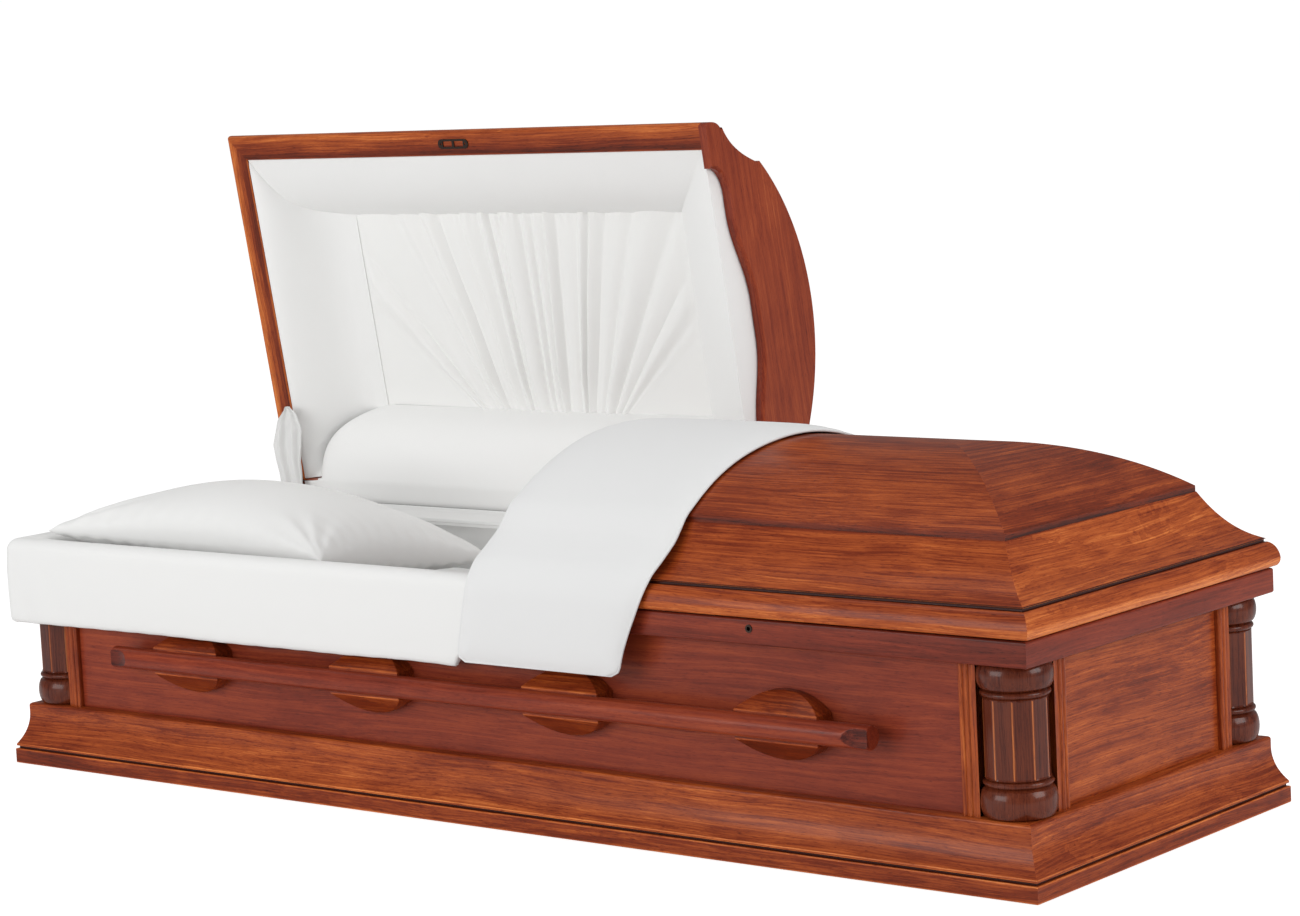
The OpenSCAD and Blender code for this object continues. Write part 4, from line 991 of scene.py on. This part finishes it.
def smooth_step(a, b, x):
    """0 below a, 1 above b, and 3t^2 - 2t^3 between."""
    t = np.clip((x - a) / (b - a), 0, 1)
    return t * t * (3 - 2 * t)


# %% [markdown]
# ## The lid's padded surround
# The head lid is lined all round with padding that runs from the rim to a sunken centre panel. Each
# side is its own section bent round a filling: the front and back are full rolls, the head end is
# hollowed, and the side by the header has a firm edge. They are sewn together at the corners, where
# the seam pulls the surface in.

# %% Rolls of the surround
FAN_X0, FAN_X1, FAN_Y0, FAN_Y1, FAN_Z = -869.0, -100.0, -174.0, 188.0, 480.0
RIM_X0, RIM_Y, RIM_Z = -HALF_L + rim_in + 1, HALF_W - rim_in - 1, LID_LOW + 3
EDGE_X, EDGE_Z = HEAD_TO - BOARD - 2.5, LID_LOW + 11
FAN_DEEP = FAN_Z - RIM_Z
FRONT_BELLY, BACK_BELLY, SKIRT_X = 15.4, 21.0, -1004
across = np.linspace(0, 1, 33)
along = (1 - np.cos(np.pi * np.linspace(0, 1, 61))) / 2


def sewn(x, x0, x1, pull=3.0, reach=5.0):
    """Depth by which the seams at both ends draw the surface in: pull * exp(-distance / reach)."""
    return pull * (np.exp(-np.abs(x - x0) / reach) + np.exp(-np.abs(x1 - x) / reach))


def roll_y(side, y_fan, belly, start, end, seed, z0=RIM_Z):
    """A roll along X: from the rim (t 0) to the panel (t 1), bellied by a half sine wave."""
    t = across[:, None]
    hump = belly * np.sin(np.pi * t)
    y = side * (RIM_Y + (abs(y_fan) - RIM_Y) * t - hump)
    x0, x1 = start(t), end(t)
    x = x0 + (x1 - x0) * along
    z = z0 + (FAN_Z - z0) * t - hump + sewn(x, x0, x1) * t
    return surface(x, y, z + 1.6 * wander(x, y * 2, seed, 260) * np.sin(np.pi * t))


def front_left(t):
    """Where the front roll starts at the head end: a slow start, then a sharp turn at the panel."""
    return RIM_X0 + (FAN_X0 - RIM_X0) * (0.46 * t + 0.54 * t ** 8)


def mitre_right(t):
    """Where a roll ends beside the header: a straight mitre."""
    return EDGE_X + (FAN_X1 - EDGE_X) * t


def back_left(t):
    """Where the back roll starts: close to the panel's corner, with a round end."""
    return FAN_X0 - 100 * (1 - t ** 2.33)


# %% Front and back rolls
front_roll = roll_y(-1, FAN_Y0, FRONT_BELLY, front_left, mitre_right, 3)
back_roll = roll_y(1, FAN_Y1, BACK_BELLY, back_left, mitre_right, 4, LID_LOW - 1.5)
from_end = back_roll[..., 0] - back_left(across[:, None])
back_roll[..., 2] += 16 * (1 - np.sqrt(1 - np.clip(1 - from_end / 22, 0, 1) ** 2))
print("rolls of", front_roll.shape[:2], "points")

# %% The hollow head end
w = across[:, None]
hollow_z = RIM_Z + FAN_DEEP * (1 - np.exp(-(w / 0.40) ** 1.9))
seam_t = np.interp(across, 0.46 * across + 0.54 * across ** 8, across)[:, None]
seam_y = -RIM_Y + (RIM_Y + FAN_Y0) * seam_t + FRONT_BELLY * np.sin(np.pi * seam_t)
seam_z = RIM_Z + FAN_DEEP * seam_t - FRONT_BELLY * np.sin(np.pi * seam_t)
end_y = RIM_Y + (FAN_Y1 - RIM_Y) * w ** 3
y = seam_y + (end_y - seam_y) * along
z = hollow_z + (seam_z - hollow_z) * np.exp(-(y - seam_y) / 30) + 2.5 * np.exp(-(y - seam_y) / 5)
z = z + 1.5 * wander(y, w * 140, 8, 300) * np.sin(np.pi * w)
left_panel = surface(RIM_X0 + (FAN_X0 - RIM_X0) * w, y, z)
print(f"head end from {z.min():.0f} to {z.max():.0f} mm high, drawn with the lid shut")

# %% The firm edge by the header
y0 = -RIM_Y + (RIM_Y + FAN_Y0) * w + FRONT_BELLY * np.sin(np.pi * w)
y1 = RIM_Y + (FAN_Y1 - RIM_Y) * w
x, y = EDGE_X + (FAN_X1 - EDGE_X) * w, y0 + (y1 - y0) * along
z = EDGE_Z + (FAN_Z - EDGE_Z) * w - 5 * np.sin(np.pi * w) + sewn(y, y0, y1)
front_z = RIM_Z + FAN_DEEP * w - FRONT_BELLY * np.sin(np.pi * w)
z = z + (front_z - z) * np.exp(-(y - y0) / 32)
ledge = surface(x, y, z + 1.2 * wander(x, y, 12, 280) * np.sin(np.pi * w))
deep = np.linspace(1, 0, 9)[:, None]
wall = surface(EDGE_X + 1.5 * np.sin(np.pi * deep), ledge[0, :, 1] * (1 - 0.03 * deep),
               EDGE_Z + 74 * deep)[:-1]
right_roll = np.concatenate([wall, ledge])
print("firm edge:", len(wall), "rows of wall and", len(ledge), "of ledge")

# %% Skirt, and sewing it all together
# Behind, the same cloth goes on over the rim to the hinge, as a flat skirt.
skirt_y = np.linspace(HALF_W - LIP_FOOT - 1.5, RIM_Y + 4, 8)[:, None]
skirt = surface(SKIRT_X + (EDGE_X - SKIRT_X) * along, skirt_y, LID_LOW - 1.5)
back_roll = np.concatenate([skirt, back_roll])


def clear_of_wood(face, gap=2.0):
    """Keeps a face nearer the inside, by a gap, than the mouldings' own inner surface."""
    inner_in, inner_z = mould_inner[::-1][1:, 0], mould_inner[::-1][1:, 1]
    limit = np.full(face.shape[:2], np.inf)
    for inset in (face[..., 0] + HALF_L, HALF_W - np.abs(face[..., 1])):
        limit = np.minimum(limit, np.where(inset < CROWN_IN, np.interp(inset, inner_in, inner_z), np.inf))
    kept = face.copy()
    kept[..., 2] = np.minimum(face[..., 2], limit - gap)
    return kept


puff_parts = []
for face, push in ((clear_of_wood(front_roll), (0, 0, 5)), (back_roll, (0, 0, 1.2)),
                   (clear_of_wood(left_panel), (-1, 0, 3)), (clear_of_wood(right_roll), (-9, 0, 9))):
    puff_parts.append(part(slab(face, face + np.array(push)), cloth_place(face[..., 0], face[..., 1])))
head_puff = cloth_piece("head_puff", puff_parts, 50, "head_lid", CLOTH_LIT_LID)
print("surround:", len(head_puff.data.polygons), "faces")

# %% [markdown]
# ## The fan
# The sunken panel is a sheet gathered at the middle of its hinge edge and spread at its front edge, so
# its pleats open like a fan. Pleat lines start b millimetres from the middle and run to
# x = c + b (1 + v k), where v goes from 0 at the gathered edge to 1 and k grows towards the outer
# pleats. Each pleat is a soft tube with a sharp valley on either side.

# %% The fan panel
FAN_C, FAN_B, PLEATS, PLEAT_DEEP = -462.0, 171.0, 19, 17.0
beside = np.linspace(FAN_B, 420, 26)[1:]
b = np.concatenate([-beside[::-1], np.linspace(-FAN_B, FAN_B, PLEATS * 14 + 1), beside])[None, :]
v = (np.linspace(0, 1, 56) ** 0.9)[:, None]
k = 0.8 + 1.7 * np.clip(np.abs(b) / FAN_B, 0, 1) ** 4
x = np.clip(FAN_C + b + np.clip(b, -FAN_B, FAN_B) * k * v, FAN_X0 - 6, FAN_X1 + 6)
place = (b + FAN_B) / (2 * FAN_B) * PLEATS
place = place + 0.16 * np.sin(1.7 * place + 1) + 0.10 * np.sin(2.9 * place + 4)
number, within = np.floor(place), place - np.floor(place)
lean = 0.5 + 0.16 * np.sin(2.1 * number + 0.6)
within = np.where(within < lean, within / lean * 0.5, 0.5 + (within - lean) / (1 - lean) * 0.5)
tube = 1 - np.abs(2 * within - 1) ** 1.7
full = PLEAT_DEEP * (0.72 + 0.34 * np.sin(2.37 * number + 1.1))
inside = 1 - smooth_step(FAN_B - 14, FAN_B + 6, np.abs(b))
to_edge = np.minimum(x - FAN_X0, FAN_X1 - x)
raised = full * tube * inside * (0.45 + 0.55 * smooth_step(0, 0.25, v)) * (1 - 0.25 * v)
raised = raised * smooth_step(0, 24, to_edge)
raised += 1.8 * np.sin(x * 2 * np.pi / 13 + 3 * np.sin(x / 40)) * np.exp(-(1 - v) * 26)
raised += 2.2 * wander(x, v * 360, 21, 170) * smooth_step(0, 30, to_edge)
y = FAN_Y1 + 6 + (FAN_Y0 - FAN_Y1 - 12) * v
outer, inner = surface(x, y, FAN_Z + 2 - raised), surface(x, y, FAN_Z + 11.0)
head_fan = cloth_piece("head_fan", [part(slab(outer, inner), cloth_place(x, y))], 50, "head_lid",
                       CLOTH_FINE)
print("fan:", PLEATS, "pleats,", len(head_fan.data.polygons), "faces")

# %% [markdown]
# ## The pillow
# Two rectangles of cloth sewn at the edges and filled. The filling draws the sides in between the
# corners, which stay as thin ears, and the top rises as a crown. It leans on the front wall's padding,
# so its front edge is higher than its back edge. Creases run out of the corners and along the seam.

# %% Pillow
corners = np.array([[[-1003, -288, 402], [-990, 236, 352]], [[-402, -230, 374], [-404, 192, 318]]], float)
BED_TOP = low_high("mattress")[1][2]
CUT_X, CUT_Y = 295, 250
DRAWN_X, DRAWN_Y, PLUMP_TOP, PLUMP_LOW = 34, 30, 104.0, 52.0
step = crowded(97, 1.25)
u, v = step[:, None], step[None, :]
a, c = (u[..., None] + 1) / 2, (v[..., None] + 1) / 2
mid = ((1 - a) * (1 - c) * corners[0, 0] + (1 - a) * c * corners[0, 1]
       + a * (1 - c) * corners[1, 0] + a * c * corners[1, 1])
mid[..., 0] -= u * DRAWN_X * (1 - v ** 2)
mid[..., 1] -= v * DRAWN_Y * (1 - u ** 2)
fullness = ((1 - u ** 2) * (1 - v ** 2)) ** 0.5
to_seam = 290 * np.minimum(1 - np.abs(u), 1 - np.abs(v))
pucker = np.exp(-to_seam / 26) * (1 - np.exp(-to_seam / 6))
gathers = pucker * (np.sin(u * 47 + 3 * np.sin(v * 5)) * (np.abs(v) > np.abs(u))
                    + np.sin(v * 39 + 2 * np.sin(u * 6)) * (np.abs(v) <= np.abs(u)))
print(f"pillow outline {np.ptp(mid[..., 0]):.0f} by {np.ptp(mid[..., 1]):.0f} mm")

# %% Creases out of the pillow's corners
creases = np.zeros(fullness.shape)
for su in (-1, 1):
    for sv in (-1, 1):
        du, dv = (1 - su * u) * CUT_X, (1 - sv * v) * CUT_Y
        turn = np.arctan2(dv, du)
        creases += np.sin(turn * 15 + su * 2 + sv) * np.exp(-((np.hypot(du, dv) - 85) / 62) ** 2)

# %% The pillow's two sides
sides = []
for up, high in ((1, PLUMP_TOP), (-1, PLUMP_LOW)):
    layer = mid.copy()
    puffed = high * fullness ** (0.92 if up > 0 else 0.8)
    layer[..., 2] += up * (puffed + 2.6 * gathers + 3.4 * creases * fullness ** 0.4)
    layer[..., 2] += up * 2.5 * wander(u * CUT_X, v * CUT_Y, 5 + up, 330) * fullness
    sides.append(layer)
sides[1][..., 2] = np.maximum(sides[1][..., 2], BED_TOP + 1.5)
sides[0][..., 2] = np.maximum(sides[0][..., 2], sides[1][..., 2] + 1.2 * (fullness > 0))
sides[0][[0, -1]] = sides[1][[0, -1]]
sides[0][:, [0, -1]] = sides[1][:, [0, -1]]
pillow = cloth_piece("pillow", [part(slab(*sides), cloth_place(u * CUT_X, v * CUT_Y))], 70)
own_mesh(pillow)
print("pillow crest at", round(sides[0][..., 2].max()), "mm")

# %% [markdown]
# ## Mattress and wall lining
# The mattress is a plain pad with eased edges and sewn channels across it. The wall lining goes round
# the inside, bulging a little between its rolled top edge and the bed, and steps in round each post.

# %% Mattress
half_x, half_y = low_high("mattress")[1][:2]
bed_low = low_high("mattress")[0][2]
u, v = crowded(121, 1.3)[:, None], crowded(41, 1.6)[None, :]
rounded = np.minimum(1, (1 - u ** 24) * (1 - v ** 12)) ** 0.5
CHANNEL_GAP, CHANNEL_DEEP, EDGE_ROUND = 110, 5, 26
from_channel = (u * half_x + 100) % CHANNEL_GAP - CHANNEL_GAP / 2
channel_dip = CHANNEL_DEEP * np.exp(-np.abs(from_channel / 6)) * rounded
px, py = u * (half_x - 3), v * (half_y - 3)
top = surface(px, py, BED_TOP - EDGE_ROUND * (1 - rounded) - channel_dip)
bottom = surface(px, py, bed_low + 1 + 20 * (1 - rounded))
mattress = cloth_piece("mattress", [part(slab(top, bottom), cloth_place(px, py))])

# %% Wall lining


def lining_loop(off, z, stretch=26):
    """The room's outline at a distance off the walls: straight sides, and a round step past each post."""
    r = back_r + off
    turn = np.degrees(np.arcsin((WALL_IN + off - COLUMN_IN) / r))
    around = arc(COLUMN_IN, COLUMN_IN, r, turn, 90 - turn, 12)
    loop = []
    for sx, sy, flip in ((-1, -1, 1), (1, -1, -1), (1, 1, 1), (-1, 1, -1)):
        p = around[::-1] if flip > 0 else around
        loop.append(np.column_stack([sx * (HALF_L - p[:, 0]), sy * (HALF_W - p[:, 1])]))
    points = []
    for this, following in zip(loop, loop[1:] + loop[:1]):
        run = np.linspace(0, 1, stretch + 1)[1:-1, None]
        points += [this, this[-1] + (following[0] - this[-1]) * run]
    points = np.concatenate(points)
    return np.column_stack([points, np.full(len(points), z)])


LINING = 12.0
lining_top = RAIL_TOP - 2
levels = [(0.6, PLINTH_TOP + 2), (LINING, PLINTH_TOP + 2), (LINING, 180.0)]
levels += [(LINING + 5 * math.sin(math.pi * s), 190 + (lining_top - 12 - 190) * s)
           for s in np.linspace(0, 1, 13)]
levels += [(LINING + 3, lining_top - 8), (LINING + 1, lining_top - 2), (LINING - 4, lining_top),
           (0.6, lining_top)]
rings = np.array([lining_loop(off, z) for off, z in levels])
shape = (rings.reshape(-1, 3), grid_quads(*rings.shape[:2], wrap_rows=True, wrap_cols=True), [])
lining_parts = [part(shape, board("x"))]

# Over each corner post a small flat of the same cloth runs from the round step to the corner.
reach_in = back_r + LINING - 2
step_turn = np.degrees(np.arcsin((WALL_IN + LINING - 2 - COLUMN_IN) / reach_in))
around = arc(COLUMN_IN, COLUMN_IN, reach_in, step_turn, 90 - step_turn, 12)[:, None, :]
spread = np.linspace(0, 1, 7)[None, :, None]
flat = around + (WALL_IN + 0.6 - around) * spread
for sx, sy in ((-1, -1), (1, -1), (1, 1), (-1, 1)):
    top = surface(sx * (HALF_L - flat[..., 0]), sy * (HALF_W - flat[..., 1]),
                  lining_top + 1.5 * np.sin(np.pi * flat[..., 0] / 90))
    lining_parts.append(part(slab(top, top - np.array([0, 0, 3])), board("x")))
body_lining = cloth_piece("body_lining", lining_parts, 50)
print("wall lining:", rings.shape[0], "levels of", rings.shape[1], "points")

# %% [markdown]
# ## The overlay on the open edge
# While the head lid is open, a padded band hangs over the front and head rails. It goes round the head
# corner in a small curve, and its lower edge is slightly wavy. When the lid comes down the band is
# pressed flat.

# %% Overlay bands
EXT_LOW, EXT_HIGH = low_high("extend_front")[0][2], low_high("extend_front")[1][2]
EXT_END, EXT_BACK = low_high("extend_front")[1][0], low_high("extend_head")[1][1]
tall = np.linspace(0, 1, 15)
face_low, face_high = EXT_LOW + 7, EXT_HIGH - 22
outer_face = np.column_stack([-2 - 1.2 * np.sin(np.pi * tall), face_low + (face_high - face_low) * tall])
band_loop = np.concatenate([
    [[RAIL_IN - 1.2, RAIL_TOP + 1.2], [RAIL_IN - 1.2, EXT_LOW + 4], [RAIL_IN - 4, EXT_LOW + 1],
     [3, EXT_LOW], [0, EXT_LOW + 2]], outer_face, arc(20, EXT_HIGH - 20, 22, 168, 95, 9),
    [[34, EXT_HIGH + 1], [46, EXT_HIGH - 1.5], [55, EXT_HIGH - 7], [61, EXT_HIGH - 14],
     [63, EXT_HIGH - 21], [61, RAIL_TOP + 1.2]]])
CORNER = 26.0


def band(station_count, straight_to, along_x):
    """The band's loop carried along one side and half way round the corner; x and y swap for the end."""
    inset, height = band_loop.T
    half_long, half_wide = (HALF_L, HALF_W) if along_x else (HALF_W, HALF_L)
    t = np.linspace(0, 1, station_count)[:, None]
    corner_at = -half_long + np.maximum(inset, CORNER)
    a = straight_to + (corner_at - straight_to) * t
    b = np.repeat((-half_wide + inset)[None, :], station_count, 0)
    turn = np.radians(np.linspace(0, 45, 9))[1:, None]
    spare = np.maximum(CORNER - inset, 0)
    a = np.concatenate([a, corner_at - spare * np.sin(turn)])
    b = np.concatenate([b, -half_wide + inset + spare * (1 - np.cos(turn))])
    z = np.repeat(height[None, :], len(a), 0)
    s = a[:, :1]
    hang = np.clip((RAIL_TOP - z) / (RAIL_TOP - EXT_LOW), 0, 1)
    z = z + hang ** 6 * (2.0 * wander(s, 0, 31, 240) - 1.0 + 0.25 * np.sin(s / 9))
    z = z + (np.maximum(EXT_LOW + 24 - z, 0) * smooth_step(-4, 14, a) if along_x else 0)
    near = np.exp(-((s + half_long - 60) / 90) ** 2)
    out = (1.0 * wander(s, z, 33, 190) + 1.6 * near * np.sin(s / 13 + z / 30)) * (inset < 30)
    out = np.maximum(out, -0.4) if along_x else out
    b = b + np.where(inset < 2, out, 0) * smooth_step(0, 0.2, hang)
    return surface(a, b, z) if along_x else surface(b, a, z)


for name, stations, straight_to, along_x in (("extend_front", 120, EXT_END + 40, True),
                                             ("extend_head", 60, EXT_BACK, False)):
    rings = band(stations, straight_to, along_x)
    piece = cloth_piece(name, [part(prism(rings), board("x" if along_x else "y"))])
    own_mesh(piece)

# %% [markdown]
# ## The corner flap
# Where the lid's lining passes the head hinge, a little spare cloth is gathered and stands up from the
# rail. The same cloth runs on as a narrow cover over the rail and the hinge.

# %% Corner flap
flap_tall = low_high("hinge_flap")[1][2] - RAIL_TOP - 1
u, v = np.linspace(0, 1, 65)[:, None], np.linspace(0, 1, 41)[None, :]
left_line = np.interp(v, [0, 0.44, 0.60, 0.86, 1], [-1044, -1053, -1052, -1026, -997])
right_line = np.interp(v, [0, 0.44, 0.60, 0.78, 0.93, 1], [-1000, -986, -975, -967, -975, -991])
x = left_line + (right_line - left_line) * u
fold = 5.0 * np.sin(u * 15 + 1.5 * v) * (0.4 + 0.6 * np.sin(np.pi * v)) + 2.0 * np.sin(u * 27 + 6 * v)
y = np.interp(v, [0, 0.3, 1], [326, 322, 300]) + fold * 0.9
face = surface(x, y, RAIL_TOP + 0.8 + flap_tall * v)
flap_part = part(slab(face, face + np.array([0, 2.2, 0])), cloth_place(u * 70, v * 190))
cover_line = np.array([[281, RAIL_TOP - 4.5], [284, RAIL_TOP + 0.5], [296, RAIL_TOP + 1.6],
                       [318, RAIL_TOP + 2.6], [332, RAIL_TOP + 3.4], [340, RAIL_TOP + 6.0],
                       [343.5, RAIL_TOP + 10.5]])
smooth_at = np.linspace(0, len(cover_line) - 1, 25)
cover_line = read_at(smooth_at, np.arange(len(cover_line)), cover_line)
x = np.linspace(-HALF_L + POST_REACH - 60, FOOT_FROM - 4, 160)[:, None]
y, z = cover_line.T
puffed = 1.2 * wander(x, y, 51, 120) * np.sin(np.pi * np.linspace(0, 1, len(y)))
face = surface(x, y, z + puffed)
cover_part = part(slab(face, face - np.array([0, -0.6, 0.8])), cloth_place(face[..., 0], face[..., 1]))
flap = cloth_piece("hinge_flap", [flap_part, cover_part])
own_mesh(flap)

# %% [markdown]
# ## The throw
# A lightly padded sheet lies over the open end of the foot lid and hangs down the front. In section it
# follows the crown, bridges the hollow slope without touching it, and falls straight past the lip. Its
# edges are piped with a thin cord covered in the same cloth, which puckers the border slightly.

# %% Throw
throw_low, throw_high = low_high("throw")
path = np.array([[-HALF_W - 4, throw_low[2]], [-HALF_W - 4.5, 300], [-HALF_W - 4.5, 340],
                 [-HALF_W - 3, LID_LOW + 12], [-HALF_W + 3, LID_LOW + 32],
                 [-HALF_W + 15, groove_top + 10], [-HALF_W + 34, groove_top + 25],
                 [-HALF_W + 62, groove_top + 50], [-HALF_W + RIDGE_IN - 6, RIDGE_Z + 8]])
over = np.linspace(-crown_half + 12, throw_high[1] - 4, 30)
path = np.concatenate([path, np.column_stack([over, crown_height(over, 3.0)])])
gone = run_length(path)
HANG = gone[-1]
even = np.linspace(0, HANG, 400)
line = read_at(even, gone, path)
smoother = np.exp(-np.linspace(-2, 2, 17) ** 2)
padded_line = np.concatenate([2 * line[0] - line[8:0:-1], line, 2 * line[-1] - line[-2:-10:-1]])
line = np.column_stack([np.convolve(column, smoother / smoother.sum(), "valid")
                        for column in padded_line.T])
tangent = np.gradient(line, axis=0)
normal = np.column_stack([-tangent[:, 1], tangent[:, 0]])
normal /= np.linalg.norm(normal, axis=1)[:, None]

# The left and right edges, as heights met by the hanging part and then places along the crown.
s_lip = np.interp(LID_LOW, line[:120, 1], even[:120])
s_ridge = np.interp(RIDGE_Z, line[:200, 1], even[:200])
left_edge = ([0, s_lip, s_ridge, s_ridge + 120, HANG], [10, 33, 56, 63, 64])
right_edge = ([0, 64, s_lip + 30, s_ridge, s_ridge + 130, s_ridge + 260, HANG],
              [328, 352, 388, 402, 404, 418, 424])
BEND = 14.0  # radius of the throw's four corners


def throw_at(s, q, lift):
    """A point of the throw: s up the section, q from -1 at the left edge to 1, lift above the inside."""
    short = np.maximum(BEND - np.minimum(s, HANG - s), 0)
    drawn = BEND - np.sqrt(np.maximum(BEND ** 2 - short ** 2, 0))
    left = smooth_edge(s, left_edge) + drawn
    right = smooth_edge(s, right_edge) - drawn
    x = (left + right) / 2 + q * (right - left) / 2
    yz = read_at(s.ravel(), even, line) + read_at(s.ravel(), even, normal) * lift.ravel()[:, None]
    return surface(x, yz[:, 0].reshape(s.shape), yz[:, 1].reshape(s.shape))


def smooth_edge(s, edge):
    """The edge's place at s, averaged over a short stretch so that it has no corners."""
    return sum(np.interp(s + d, *edge) for d in np.linspace(-40, 40, 9)) / 9


s, q = np.broadcast_arrays(HANG * np.linspace(0, 1, 120)[:, None], crowded(61, 1.35))
from_border = np.minimum(np.minimum(s, HANG - s), 160 * (1 - np.abs(q)))
loft = 3.5 + 8.5 * (1 - np.exp(-from_border / 16))
rumple = 1.6 * wander(s, q * 160, 41, 260) + 0.9 * np.exp(-from_border / 14) * np.sin(s / 7 + q * 21)
free = 1 - smooth_step(s_ridge - 30, s_ridge + 30, s)
under = np.maximum(0, 2.0 * wander(s, q * 160, 43, 300)) * free
outer = throw_at(s, q, under + loft + rumple * np.clip(from_border / 10, 0.2, 1))
inner = throw_at(s, q, under)
quilt = part(slab(outer, inner), cloth_place(q * 160, s))
hem_s, hem_q = border(s)[:, None], border(q)[:, None]
core = throw_at(hem_s, hem_q, np.full(hem_s.shape, 2.2))[:, 0]
ahead = np.roll(core, -1, 0) - np.roll(core, 1, 0)
ahead /= np.linalg.norm(ahead, axis=1)[:, None]
side_way = np.cross(ahead, np.array([0.3, 0.9, 0.2]))
side_way /= np.linalg.norm(side_way, axis=1)[:, None]
third = np.cross(ahead, side_way)
CORD_R = 2.3
ring_at = np.linspace(0, 2 * np.pi, 10, endpoint=False)[:, None]
cord = core[:, None] + CORD_R * (np.cos(ring_at) * side_way[:, None] + np.sin(ring_at) * third[:, None])
piping = part((cord.reshape(-1, 3), grid_quads(*cord.shape[:2], wrap_rows=True, wrap_cols=True), []),
              board("x"))
throw = cloth_piece("throw", [quilt, piping], 60, "foot_lid", CLOTH_THROW)
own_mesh(throw)
print("throw:", round(HANG), "mm from hem to back edge")

# %% [markdown]
# ## The foot lid's lining
# The foot lid is lined more plainly, with one sheet stretched across under the crown and lightly
# shirred from front to back.

# %% Foot lining
lining_low, lining_high = low_high("foot_lining")
u, v = np.linspace(0, 1, 241)[:, None], np.linspace(0, 1, 21)[None, :]
x = lining_low[0] + (lining_high[0] - lining_low[0]) * u
y = lining_low[1] + (lining_high[1] - lining_low[1]) * v
shirring = 1.6 * np.sin(x / 5.2 + 0.9 * np.sin(x / 37)) * (0.5 + 0.5 * np.abs(2 * v - 1))
face, back = surface(x, y, lining_low[2] + 3 - shirring), surface(x, y, lining_low[2] + 9)
foot_lining = cloth_piece("foot_lining", [part(slab(face, back), cloth_place(x, y))], 60, "foot_lid",
                          CLOTH_FINE)

# %% [markdown]
# ## Metal and hidden wood
# The strip hinges, the keeper and the lock socket keep their construction shapes and take a dark
# bronze. The bed deck is raw board, hidden under the mattress.

# %% Materials for the remaining nodes
bronze = Nodes("dark_bronze")
bronze.set(Base_Color=(0.045, 0.030, 0.024, 1), Metallic=0.85, Roughness=0.42)
raw = stained_wood("plain_board", (0.16, 0.09, 0.045), (0.32, 0.20, 0.11), (0.46, 0.31, 0.18),
                   (0.60, 0.44, 0.27), contrast=0.6, gloss=0.7)
finishes = {node: bronze.material for node in ("hinge_head_body", "hinge_head_lid", "hinge_foot_body",
                                               "hinge_foot_lid", "keeper", "key_socket")}
finishes["bed_deck"] = raw
for node, material in finishes.items():
    for held in bpy.data.objects[node].material_slots:
        held.link = "OBJECT"
        held.material = material

# %% Finish
bpy.context.view_layer.update()
